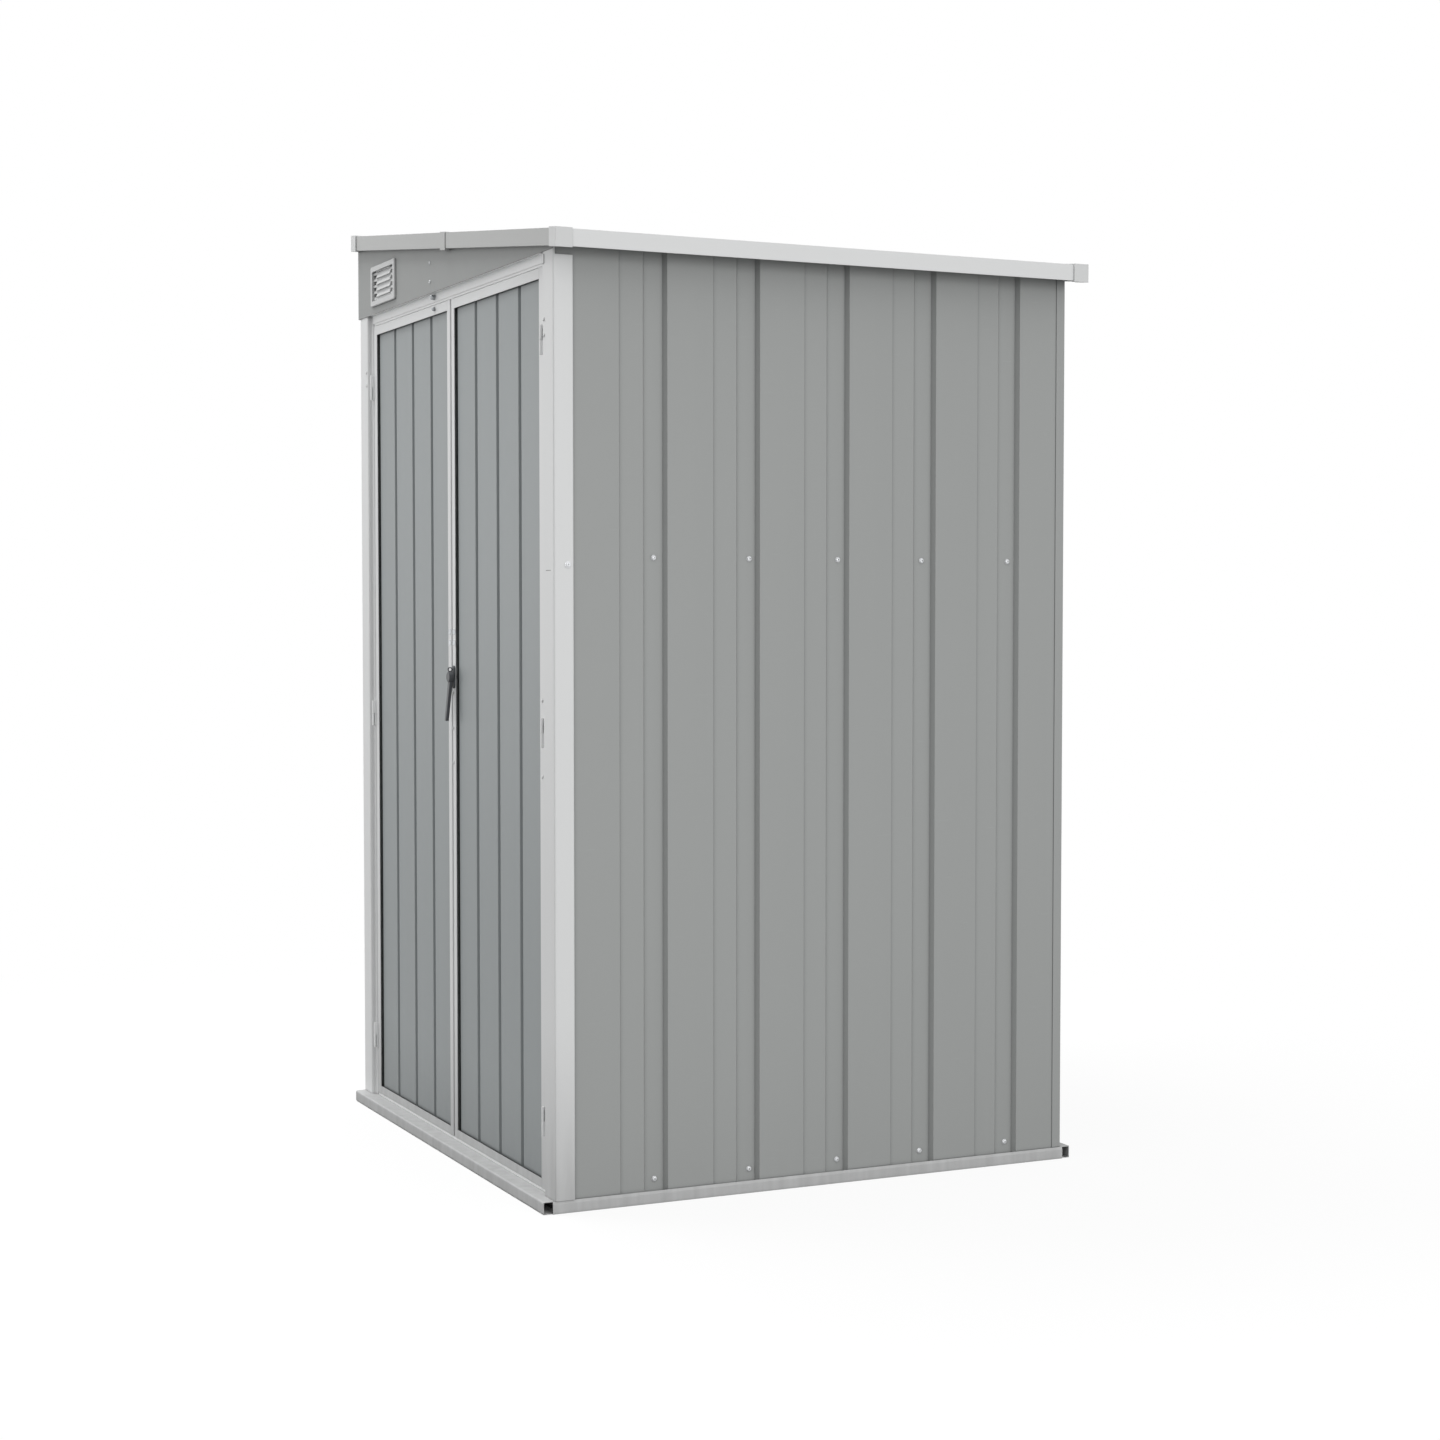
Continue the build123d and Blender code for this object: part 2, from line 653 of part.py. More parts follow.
def gable_trim_length(x0, x1, side):
    face = side * (ROOF_Y - TRIM_INSET)
    web = sorted((face, face - side * TRIM_SHEET))
    lip = sorted((face, face - side * TRIM_TOP_LIP))
    foot = sorted((face, face - side * TRIM_BOTTOM_LIP))
    trim = roof_slab(x0, x1, web[0], web[1], 0, TRIM_FACE)
    trim += roof_slab(x0, x1, lip[0], lip[1], 0, TRIM_SHEET)
    trim += roof_slab(x0, x1, foot[0], foot[1], TRIM_FACE - TRIM_SHEET, TRIM_FACE)
    return trim


def gable_trim(side):
    """Two lengths of trim along a gable, which meet under the joiner."""
    high = gable_trim_length(HIGH_X + TRIM_INSET, JOINER_X - TRIM_SPLIT / 2, side)
    low = gable_trim_length(JOINER_X + TRIM_SPLIT / 2, EAVE_X - TRIM_INSET, side)
    return Compound([high, low])


def trim_joiner(side):
    """Clip over the two lengths of gable trim."""
    x0 = JOINER_X - JOINER_WIDTH / 2
    x1 = JOINER_X + JOINER_WIDTH / 2
    inner = side * (ROOF_Y - TRIM_INSET + SEAM)
    outer = inner + side * TRIM_SHEET
    lip = sorted((outer, inner - side * TRIM_TOP_LIP))
    foot = sorted((outer, inner - side * TRIM_BOTTOM_LIP))
    web = sorted((outer, inner))
    rise = SEAM + TRIM_SHEET
    bottom = TRIM_FACE + JOINER_HANG
    clip = roof_slab(x0, x1, web[0], web[1], -rise, bottom)
    clip += roof_slab(x0, x1, lip[0], lip[1], -rise, -SEAM)
    clip += roof_slab(x0, x1, foot[0], foot[1], bottom - TRIM_SHEET, bottom)
    return clip


def corner_cap(x_side, y_side):
    """Cap over a roof corner: two outer walls, a top and a lip below, open towards the roof."""
    x_out = EAVE_X if x_side > 0 else HIGH_X
    y_out = y_side * ROOF_Y
    xs = sorted((x_out, x_out - x_side * CAP_PLAN))
    ys = sorted((y_out, y_out - y_side * CAP_PLAN))
    top = -CAP_RISE - SEAM
    bottom = TRIM_FACE + CAP_RISE + SEAM
    cap = roof_slab(xs[0], xs[1], ys[0], ys[1], top, bottom)
    past_x = x_out - x_side * (CAP_PLAN + CUT_OVERSHOOT)
    past_y = y_out - y_side * (CAP_PLAN + CUT_OVERSHOOT)
    inner_xs = sorted((x_out - x_side * CAP_SHEET, past_x))
    inner_ys = sorted((y_out - y_side * CAP_SHEET, past_y))
    cap -= roof_slab(inner_xs[0], inner_xs[1], inner_ys[0], inner_ys[1], -SEAM, TRIM_FACE + SEAM)
    foot_xs = sorted((x_out - x_side * CAP_FOOT, past_x))
    foot_ys = sorted((y_out - y_side * CAP_FOOT, past_y))
    return cap - roof_slab(
        foot_xs[0], foot_xs[1], foot_ys[0], foot_ys[1], TRIM_FACE, bottom + CUT_OVERSHOOT
    )


# Doors, drawn for the right leaf

def hinge_stile():
    inner = DOOR_EDGE - HINGE_STILE
    path = [(inner, DOOR_FRONT), (DOOR_EDGE, DOOR_FRONT), (DOOR_EDGE, DOOR_BACK), (inner, DOOR_BACK)]
    return bent_sheet(path, FRAME_SHEET, LEAF_BEND, "z", DOOR_FOOT, DOOR_HEAD)


def meeting_stile():
    inner = DOOR_MEET + MEETING_STILE
    path = [(inner, DOOR_BACK), (DOOR_MEET, DOOR_BACK), (DOOR_MEET, DOOR_FRONT), (inner, DOOR_FRONT)]
    return bent_sheet(path, FRAME_SHEET, LEAF_BEND, "z", DOOR_FOOT, DOOR_HEAD)


def door_rails():
    """Top and bottom rails between the stiles, open towards the panel."""
    x0 = DOOR_MEET + MEETING_STILE + SEAM
    x1 = DOOR_EDGE - HINGE_STILE - SEAM
    low = DOOR_HEAD - DOOR_TOP_RAIL
    high = DOOR_FOOT + DOOR_BOTTOM_RAIL
    top_path = [(DOOR_BACK, low), (DOOR_BACK, DOOR_HEAD), (DOOR_FRONT, DOOR_HEAD), (DOOR_FRONT, low)]
    foot_path = [(DOOR_FRONT, high), (DOOR_FRONT, DOOR_FOOT), (DOOR_BACK, DOOR_FOOT), (DOOR_BACK, high)]
    top = bent_sheet(top_path, FRAME_SHEET, LEAF_BEND, "x", x0, x1)
    foot = bent_sheet(foot_path, FRAME_SHEET, LEAF_BEND, "x", x0, x1)
    return top, foot


def door_panel():
    """Grooved sheet held in the open channels of the stiles and rails, which cover its outermost grooves."""
    face = DOOR_FRONT + DOOR_PANEL_SETBACK
    edge = FRAME_SHEET + SEAM
    middle = (DOOR_MEET + MEETING_STILE + DOOR_EDGE - HINGE_STILE) / 2
    room = middle - DOOR_MEET - edge - GROOVE_WIDTH / 2
    each_side = floor(room / GROOVE_PITCH)
    path = [(DOOR_MEET + edge, face)]
    for index in range(-each_side, each_side + 1):
        centre = middle + index * GROOVE_PITCH
        path.append((centre - GROOVE_WIDTH / 2, face))
        path.append((centre - GROOVE_FLOOR / 2, face + GROOVE_DEPTH))
        path.append((centre + GROOVE_FLOOR / 2, face + GROOVE_DEPTH))
        path.append((centre + GROOVE_WIDTH / 2, face))
    path.append((DOOR_EDGE - edge, face))
    return prism(folded(path, PANEL_SHEET), "z", DOOR_FOOT + edge, DOOR_HEAD - edge)


def hinge_halves(height):
    """Fixed half with the pin and lower barrel, and moving half with the upper barrel."""
    low = height - HINGE_LENGTH / 2
    high = height + HINGE_LENGTH / 2
    leaf_front = PIN_Y + LEAF_START
    leaf_back = leaf_front + LEAF_DEPTH
    post_face = DOORWAY - SEAM
    fixed = block(post_face - HINGE_SHEET, post_face, leaf_front, leaf_back, low, high)
    fixed += block(post_face - HINGE_SHEET, post_face, PIN_Y, leaf_front, low, height)
    fixed += rod(BARREL_RADIUS, "z", (PIN_X, PIN_Y), low, height)
    fixed += rod(PIN_RADIUS, "z", (PIN_X, PIN_Y), low, high)
    door_face = DOOR_EDGE + SEAM
    above = height + BARREL_GAP
    moving = block(door_face, door_face + HINGE_SHEET, leaf_front, leaf_back, low, high)
    moving += block(door_face, door_face + HINGE_SHEET, PIN_Y, leaf_front, above, high)
    moving += rod(BARREL_RADIUS, "z", (PIN_X, PIN_Y), above, high)
    moving -= rod(
        PIN_RADIUS + PIN_CLEARANCE, "z", (PIN_X, PIN_Y), low - CUT_OVERSHOOT, high + CUT_OVERSHOOT
    )
    return fixed, moving


def handle_plate():
    """Oblong plate on the right leaf's meeting stile."""
    back = DOOR_FRONT - SEAM
    front = back - PLATE_THICKNESS
    half = PLATE_WIDTH / 2
    straight = PLATE_HEIGHT / 2 - half
    plate = block(HANDLE_X - half, HANDLE_X + half, front, back, HANDLE_Z - straight, HANDLE_Z + straight)
    for end in (-straight, straight):
        plate += rod(half, "y", (HANDLE_X, HANDLE_Z + end), front, back)
    plate = chamfer(plate.faces().sort_by(Axis.Y)[0].edges(), PLATE_EDGE)
    hole = SPINDLE_RADIUS + SPINDLE_CLEARANCE
    return plate - rod(hole, "y", (HANDLE_X, HANDLE_Z), front - CUT_OVERSHOOT, back + CUT_OVERSHOOT)


def handle_lever():
    """Hanging lever that flares away from the door, with its hub, a small eye on top, and the spindle."""
    hub_back = DOOR_FRONT - SEAM - PLATE_THICKNESS - HUB_GAP
    hub_front = hub_back - HUB_LENGTH
    start = hub_front + LEVER_START
    tip = HANDLE_Z - LEVER_LENGTH
    side_view = [
        (start, HANDLE_Z),
        (start - LEVER_FLARE, tip),
        (start - LEVER_FLARE + LEVER_THICKNESS, tip),
        (start + LEVER_THICKNESS, HANDLE_Z),
    ]
    front_view = [
        (HANDLE_X - LEVER_ROOT_WIDTH / 2, HANDLE_Z),
        (HANDLE_X - LEVER_TIP_WIDTH / 2, tip),
        (HANDLE_X + LEVER_TIP_WIDTH / 2, tip),
        (HANDLE_X + LEVER_ROOT_WIDTH / 2, HANDLE_Z),
    ]
    lever = prism(side_view, "x", -SIDE, SIDE) & prism(front_view, "y", FRONT - SIDE, FRONT + SIDE)
    lever = fillet(lever.edges(), LEVER_EDGE)
    hub = rod(HUB_RADIUS, "y", (HANDLE_X, HANDLE_Z), hub_front, hub_back)
    lever += chamfer(hub.faces().sort_by(Axis.Y)[0].edges(), HUB_EDGE)
    lever += rod(SPINDLE_RADIUS, "y", (HANDLE_X, HANDLE_Z), hub_back, DOOR_FRONT + FRAME_SHEET + SPINDLE_TAIL)
    eye_y = (hub_front + hub_back) / 2
    eye_z = HANDLE_Z + HUB_RADIUS + EYE_RISE
    x0 = HANDLE_X - EYE_THICKNESS / 2
    x1 = HANDLE_X + EYE_THICKNESS / 2
    lever += rod(EYE_RADIUS, "x", (eye_y, eye_z), x0, x1)
    lever += block(
        x0, x1, eye_y - EYE_HOLE_RADIUS, eye_y + EYE_HOLE_RADIUS, HANDLE_Z + HUB_RADIUS - EYE_RISE, eye_z
    )
    return lever - rod(EYE_HOLE_RADIUS, "x", (eye_y, eye_z), x0 - CUT_OVERSHOOT, x1 + CUT_OVERSHOOT)


def door_nodes():
    """All pieces of both leaves, by node name."""
    top, foot = door_rails()
    stiles = [hinge_stile(), meeting_stile()]
    spindle_hole = rod(
        SPINDLE_RADIUS + SPINDLE_CLEARANCE, "y", (HANDLE_X, HANDLE_Z),
        DOOR_FRONT - CUT_OVERSHOOT, DOOR_FRONT + FRAME_SHEET + CUT_OVERSHOOT,
    )
    fixed = []
    moving = []
    for height in HINGE_HEIGHTS:
        one_fixed, one_moving = hinge_halves(height)
        fixed.append(one_fixed)
        moving.append(one_moving)
    return {
        "door_right_stiles": Compound([stiles[0], stiles[1] - spindle_hole]),
        "door_right_rails": Compound([top, foot]),
        "door_right_panel": door_panel(),
        "door_right_hinge_leaves": Compound(moving),
        "post_right_hinge_leaves": Compound(fixed),
        "door_left_stiles": Compound([mirrored(one) for one in stiles]),
        "door_left_rails": Compound([mirrored(top), mirrored(foot)]),
        "door_left_panel": mirrored(door_panel()),
        "door_left_hinge_leaves": Compound([mirrored(one) for one in moving]),
        "post_left_hinge_leaves": Compound([mirrored(one) for one in fixed]),
        "handle_plate": handle_plate(),
        "handle_lever": handle_lever(),
    }


def shed_nodes():
    """All fixed pieces, by node name."""
    low_rail_bottom = trim_top(FRAME_X) - CEILING - SIDE_TOP_RAIL_FACE - SEAM
    high_rail_bottom = trim_top(-FRAME_X) - CEILING - SIDE_TOP_RAIL_FACE - SEAM
    flange_x = FRAME_X - RAIL_FLANGE - SEAM
    sheet_edge = ROOF_Y - TRIM_INSET - TRIM_SHEET - SHEET_END_GAP
    lap = RIB_TOP / 2
    return {
        "front_sill": front_sill(),
        "base_rail_right": side_rail(),
        "base_rail_left": mirrored(side_rail()),
        "base_rail_rear": rear_rail(),
        "front_post_right": low_front_post(),
        "front_post_left": high_front_post(),
        "rear_post_right": rear_post(low_rail_bottom),
        "rear_post_left": mirrored(rear_post(high_rail_bottom)),
        "mid_rail_right": side_mid_rail(),
        "mid_rail_left": mirrored(side_mid_rail()),
        "mid_rail_rear": rear_mid_rail(),
        "top_rail_right": side_top_rail(1),
        "top_rail_left": side_top_rail(-1),
        "top_rail_front": gable_top_rail(FRONT, 1, -DOORWAY + SEAM, flange_x),
        "top_rail_rear": gable_top_rail(FRAME_Y, -1, -flange_x, flange_x),
        "door_header": door_header(),
        "gable_strut": gable_strut(),
        "roof_purlin": roof_purlin(),
        "wall_right": side_wall(1),
        "wall_left": side_wall(-1),
        "wall_rear": rear_wall(),
        "gable_panel_front": gable_panel(),
        "gable_vent": gable_vent(),
        "roof_sheet_front": roof_sheet(-sheet_edge, lap - PANEL_SHEET, 0.0, PANEL_SHEET + SEAM),
        "roof_sheet_rear": roof_sheet(-lap, sheet_edge, 0.0, 0.0),
        "roof_trim_eave": cross_trim(EAVE_X - TRIM_INSET, -1),
        "roof_trim_high": cross_trim(HIGH_X + TRIM_INSET, 1),
        "roof_trim_front": gable_trim(-1),
        "roof_trim_rear": gable_trim(1),
        "trim_joiner_front": trim_joiner(-1),
        "trim_joiner_rear": trim_joiner(1),
        "roof_cap_front_right": corner_cap(1, -1),
        "roof_cap_front_left": corner_cap(-1, -1),
        "roof_cap_rear_right": corner_cap(1, 1),
        "roof_cap_rear_left": corner_cap(-1, 1),
    }


def main():
    os.makedirs("parts", exist_ok=True)
    nodes = shed_nodes()
    nodes.update(door_nodes())
    for name, part in nodes.items():
        export_step(Pos(-ORIGIN_X, 0, 0) * part, f"parts/{name}.step")


main()
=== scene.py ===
"""Finishes, fixings, light and camera of a lean-to metal tool shed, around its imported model."""
import bpy
import bmesh
import json
import math
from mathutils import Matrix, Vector


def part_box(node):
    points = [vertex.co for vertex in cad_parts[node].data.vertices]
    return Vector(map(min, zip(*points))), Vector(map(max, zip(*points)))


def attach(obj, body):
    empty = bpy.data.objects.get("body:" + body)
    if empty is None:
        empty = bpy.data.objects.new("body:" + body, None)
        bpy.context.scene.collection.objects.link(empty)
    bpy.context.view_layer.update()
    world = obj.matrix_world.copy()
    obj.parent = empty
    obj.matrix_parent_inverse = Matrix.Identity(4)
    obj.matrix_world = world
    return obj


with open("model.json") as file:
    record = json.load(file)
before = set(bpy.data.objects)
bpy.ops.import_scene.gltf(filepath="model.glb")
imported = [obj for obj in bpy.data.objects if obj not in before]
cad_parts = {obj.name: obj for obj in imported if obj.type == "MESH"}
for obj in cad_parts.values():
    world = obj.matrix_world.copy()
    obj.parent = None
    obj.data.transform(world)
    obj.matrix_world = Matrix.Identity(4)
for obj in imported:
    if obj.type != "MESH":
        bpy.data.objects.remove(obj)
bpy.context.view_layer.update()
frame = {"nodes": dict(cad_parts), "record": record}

# Camera, fitted to the photograph's vanishing lines
CAMERA_PLACE = (4.322, -1.980, 1.000)
CAMERA_TILT = 2.424             # degrees below level
CAMERA_TURN = 64.845            # degrees round from looking along +Y
LENS = 61.43                    # millimetres, as is the sensor's width
SENSOR = 36.0

# Paint and metal, as 8-bit screen colours
GREY_PAINT = (158, 160, 159)
DOOR_PAINT = (149, 154, 155)
WHITE_PAINT = (219, 220, 220)
# lighter white that paints out the shade on the header, the hinge leaves and the lips behind the doors
LIGHTENED_WHITE_PAINT = (240, 241, 241)
# darker grey that paints in the shade under the front roof edge on the gable panel
SHADED_GABLE_PAINT = (145, 147, 146)
# darker white that paints in the shade on the front roof trims, which the light reaches less than the side
# ones
SHADED_TRIM_PAINT = (178, 179, 178)
WHITE_PLASTIC = (210, 211, 211)
VENT_PLASTIC = (199, 200, 200)
GALVANISED = (178, 181, 183)
ZINC = (234, 236, 238)
BLACK_PLASTIC = (84, 86, 89)
BARE_STEEL = (196, 199, 201)
# grey that finishes darken towards near the ground: real dust, and painted shade
DUST_AND_SHADE_GREY = (112, 112, 112)
# black that creases and joints are painted towards as shade, and black of the painted shadow strips
SHADE_BLACK = (16, 17, 18)
CRYSTAL_SHADE = (120, 124, 128)
PAINT_SPECULAR = 0.2            # how strongly paint and plastic reflect head on, where 0.5 is usual

# Patterns in the finishes: noise cells to a metre, and their detail
CLOUDS = (2.6, 3.0)
GLOSS_PATCHES = (45.0, 4.0)
ORANGE_PEEL = (420.0, 2.0)
RUBBED_PATCHES = (60.0, 5.0)
LOW_STREAKS = (55.0, 4.0)
SCUFF_DETAIL = 6.0
CRYSTALS = 90.0
CLOUD_STRETCH = (1, 1, 0.25)    # a share under 1 draws the pattern out upright
STREAK_STRETCH = (1, 1, 0.12)
SCUFF_STRETCH = (1, 1, 14)      # and a share over 1 flattens it into lines that run across
SCUFF_TILT = (0.3, 0.2, 0.0)    # radians

# Where the masks of wear, dust and painted shade start and are full
RUBBED_FROM_TO = (0.45, 0.75)
SCUFFED_FROM_TO = (0.66, 0.74)
STREAKS_FROM_TO = (0.3, 0.7)
STREAK_STRENGTH = (0.85, 1.15)
HIDDEN_FROM_TO = (0.95, 0.3)    # openness of a spot at which the painted shade starts, and at which it is full
DUST_AND_SHADE_FADE = 1.6                 # power by which the dust and painted shade thin out upwards
DUST_DULLNESS = 0.5             # roughness that full dust adds
BEVEL_SAMPLES = 4
HIDDEN_SAMPLES = 8

# Light: the studio's even glow, and area lamps as place, aim, width, height and watts
WHITE = (1, 1, 1, 1)
GLOW = 0.82
LAMPS = {
    "key": ((6.1, 0.9, 1.5), (0.5, 0.1, 0.8), 4.0, 3.0, 128.0),
    "left": ((-4.6, -4.0, 1.4), (0.0, -0.5, 0.9), 1.8, 1.8, 42.0),
    "top": ((-1.0, -1.0, 4.4), (0.0, -0.5, 1.2), 2.4, 1.0, 110.0),
}

# Floor: where it is seen it glows white, apart from the shed's own soft shadow
FLOOR_REACH = 30.0              # from the middle to each edge
FLOOR_BOUNCE = 0.20             # how pale it is for the light that it throws back
FLOOR_PALE = 0.90               # how pale it is where it is seen and doesn't glow
FLOOR_GLOW = 0.90               # share of the glow inside the shadow
SHADOW_NEAR = 1.3               # from here outwards the shadow fades
SHADOW_FAR = 2.8
FLOOR_EDGE = 0.0005             # the glow reaches this far under the sill and the rear rail

# Fixings, in metres: head radius, head height, washer radius, washer height, recess width
SCREW = (0.0040, 0.0026, 0.0048, 0.0008, 0.0010)
SMALL_SCREW = (0.0030, 0.0020, 0.0034, 0.0004, 0.0008)
POST_BOLT = (0.0040, 0.0024, 0.0056, 0.0010, 0.0010)
RIVET = (0.0028, 0.0012, 0.0034, 0.0004, 0.0)
BUFFER = (0.0048, 0.0092, 0.0054, 0.0006, 0.0)
SMALL_BUFFER = (0.0036, 0.0060, 0.0040, 0.0004, 0.0)

# Form of every fixing
FIXING_SIDES = 20
WASHER_EDGE = 0.6               # share of the washer's height below its slope
DOME = (                        # each step's share of the head's height, and how far it narrows
    (0.45, 1.0),
    (0.30, 0.86),
    (0.18, 0.70),
    (0.07, 0.45),
)
RECESS_SPAN = 1.1               # share of the head's radius
RECESS_DEPTH = 0.9              # share of the head's height, half of it above the crown
WELD = 0.000001                 # metres within which points are merged

# Places of the fixings, in metres
MID_SCREWS = 1.0985             # height of the row on the mid rails
BASE_SCREWS = 0.0393            # height of the row on the base rails
SIDE_SCREWS = (-0.3125, -0.1330, 0.0395, 0.2075, 0.3860)                # Y
REAR_SCREW_FIRST = 0.4223       # X, from which the row runs towards the high side
REAR_SCREW_PITCH = 0.1740
REAR_SCREW_COUNT = 6
ROOF_RIBS = (-0.3741, -0.2497, -0.1253, 0.0, 0.1246, 0.2493, 0.3739)    # Y
ROOF_ROWS = (0.495, -0.115, -0.533)     # X
POST_SCREW = (-0.474, 1.085)    # Y and height
STRUT_SCREWS = (1.6615, 1.6265)         # heights
STRUT_X = -0.109
HEADER_BUFFER = 1.5975          # height
DOOR_BUFFER = 1.5755            # height
STILE_RIVETS = (0.7285, 0.7930, 0.8575)  # heights
RIGHT_STILES = (-0.0118, 0.4475)        # X
POST_RIVETS = (1.4662, 1.4928)  # heights
POST_RIVET_X = (0.4800, -0.5180)        # on the right post, and on the left one
OUTSIDE = 2.0                   # clear of the shed's sides
ABOVE = 3.0                     # clear of its roof

# Small plates, in metres: width, height, how far they stand proud, corner radius
STILE_SLOT = (0.0135, 0.0095, 0.0004, 0.0020)
POST_SLIT = (0.0220, 0.0006, 0.0002, 0.0005)
POST_CLIP = (0.0100, 0.0150, 0.0015, 0.0010)
SLOT_X = (-0.0074, -0.0306)     # on the right leaf's meeting stile, and on the left one's
SLOT_ROWS = (0.9505, 0.9705)    # heights
POST_SLIT_PLACE = (0.4975, 1.0758)      # X and height
POST_CLIP_PLACE = (0.4770, 1.5925)

# Black strips of painted shadow at the edges of the door panels, where the sheet dips behind the stiles, in
# metres
SHADOW_STRIP_WIDTH = 0.0050
SHADOW_STRIP_SHORT = 0.0140             # short of the rails' outer edges
SHADOW_STRIP_PROUD = 0.0003
SHADOW_STRIP_CORNER = 0.0010

# Lips of the header and the sill, in metres
LIP_CLEARANCE = 0.0006          # past the leaves' top and bottom edges
LIP_SEAM = 0.0001               # from the header or the sill
LIP_SETBACK = 0.0012            # behind the leaves' front faces
LIP_SHORT = (0.0005, 0.0003)    # short of the left leaf's outer edge, and of the right one's
LIP_BEND = 0.0012
LIP_THICK = 0.0006
LIP_RETURN = 0.0070

QUARTER_BEND = (0, 30, 60, 90)  # degrees at which a rounded corner is drawn
LEAVES = ("door_right", "door_left")


def screen(colour):
    """Linear colour of an 8-bit screen colour, by the sRGB curve."""
    linear = [((c / 255 + 0.055) / 1.055) ** 2.4 if c > 10 else c / 255 / 12.92 for c in colour]
    return (*linear, 1.0)


def new_object(name, data):
    """Object of that data, put into the scene."""
    thing = bpy.data.objects.new(name, data)
    bpy.context.scene.collection.objects.link(thing)
    return thing


def new_piece(name, shape, body):
    """Object of a finished mesh that rides on a body."""
    piece = new_object(name, shape)
    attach(piece, body)


def add(tree, kind, inputs=None, **settings):
    """New node with its settings, and each named input set to a value or joined to a socket."""
    node = tree.nodes.new(kind)
    for name, value in settings.items():
        setattr(node, name, value)
    for name, value in (inputs or {}).items():
        if isinstance(value, bpy.types.NodeSocket):
            tree.links.new(value, node.inputs[name])
        else:
            node.inputs[name].default_value = value
    return node


def math_node(tree, operation, first, second=0.0, clamp=False):
    values = {0: first, 1: second}
    return add(tree, "ShaderNodeMath", values, operation=operation, use_clamp=clamp).outputs[0]


def mix_colour(tree, factor, first, second, blend="MIX"):
    """Mix of two colours, which the node takes at its sockets 6 and 7."""
    values = {0: factor, 6: first, 7: second}
    return add(tree, "ShaderNodeMix", values, data_type="RGBA", blend_type=blend).outputs[2]


def map_range(tree, value, source, target=(0.0, 1.0), **settings):
    """The value, with its range from source stretched onto target."""
    low, high = source
    bottom, top = target
    values = {"Value": value, "From Min": low, "From Max": high, "To Min": bottom, "To Max": top}
    return add(tree, "ShaderNodeMapRange", values, **settings).outputs["Result"]


def own_place(tree):
    return add(tree, "ShaderNodeTexCoord").outputs["Object"]


def mapped(tree, place, **changes):
    return add(tree, "ShaderNodeMapping", {"Vector": place, **changes}).outputs[0]


def noise(tree, place, scale, detail):
    return add(tree, "ShaderNodeTexNoise", {"Vector": place, "Scale": scale, "Detail": detail}).outputs["Fac"]


def new_group(name, inputs, outputs):
    """Empty shader node group, from its inputs' default values and its outputs' socket types."""
    group = bpy.data.node_groups.new(name, "ShaderNodeTree")
    for label, default in inputs.items():
        kind = "NodeSocketColor" if isinstance(default, tuple) else "NodeSocketFloat"
        socket = group.interface.new_socket(label, in_out="INPUT", socket_type=kind)
        socket.default_value = default
    for label, kind in outputs.items():
        group.interface.new_socket(label, in_out="OUTPUT", socket_type=kind)
    return group, group.nodes.new("NodeGroupInput").outputs, group.nodes.new("NodeGroupOutput").inputs


# Effects shared by the finishes

def paint_film_group():
    """Sprayed coating: slow colour drift, uneven gloss, orange peel and the sheet's slight waves."""
    group, given, result = new_group(
        "paint_film",
        {
            "Colour": (0.5, 0.5, 0.5, 1), "Drift": 0.03, "Roughness": 0.4, "Spread": 0.1,
            "Peel": 0.00002, "Waves": 0.0004,
        },
        {"Colour": "NodeSocketColor", "Roughness": "NodeSocketFloat", "Height": "NodeSocketFloat"},
    )
    place = own_place(group)
    cloud = noise(group, mapped(group, place, Scale=CLOUD_STRETCH), *CLOUDS)
    fine = noise(group, place, *GLOSS_PATCHES)
    peel = noise(group, place, *ORANGE_PEEL)
    swing = math_node(group, "SUBTRACT", cloud, 0.5)
    lift = math_node(group, "MULTIPLY", swing, given["Drift"])
    level = math_node(group, "ADD", lift, 0.5)
    tint = add(group, "ShaderNodeCombineColor", {0: level, 1: level, 2: level}).outputs[0]
    colour = mix_colour(group, 1.0, given["Colour"], tint, "OVERLAY")
    patch = math_node(group, "SUBTRACT", fine, 0.5)
    both = math_node(group, "ADD", patch, swing)
    uneven = math_node(group, "MULTIPLY", both, given["Spread"])
    roughness = math_node(group, "ADD", given["Roughness"], uneven, clamp=True)
    skin = math_node(group, "MULTIPLY", peel, given["Peel"])
    sway = math_node(group, "MULTIPLY", cloud, given["Waves"])
    height = math_node(group, "ADD", skin, sway)
    group.links.new(colour, result["Colour"])
    group.links.new(roughness, result["Roughness"])
    group.links.new(height, result["Height"])
    return group


def edge_wear_group():
    """Softened edges, and a broken mask of where their coating has rubbed thin."""
    group, given, result = new_group(
        "edge_wear",
        {"Radius": 0.001, "Reach": 0.5},
        {"Mask": "NodeSocketFloat", "Normal": "NodeSocketVector"},
    )
    soft = add(group, "ShaderNodeBevel", {"Radius": given["Radius"]}, samples=BEVEL_SAMPLES).outputs[0]
    flat = add(group, "ShaderNodeNewGeometry").outputs["Normal"]
    turn = add(group, "ShaderNodeVectorMath", {0: soft, 1: flat}, operation="DOT_PRODUCT").outputs["Value"]
    edge = math_node(group, "SUBTRACT", 1.0, turn, clamp=True)
    rubbed = noise(group, own_place(group), *RUBBED_PATCHES)
    mask = math_node(group, "MULTIPLY", edge, map_range(group, rubbed, RUBBED_FROM_TO))
    mask = math_node(group, "MULTIPLY", mask, given["Reach"], clamp=True)
    group.links.new(mask, result["Mask"])
    group.links.new(soft, result["Normal"])
    return group


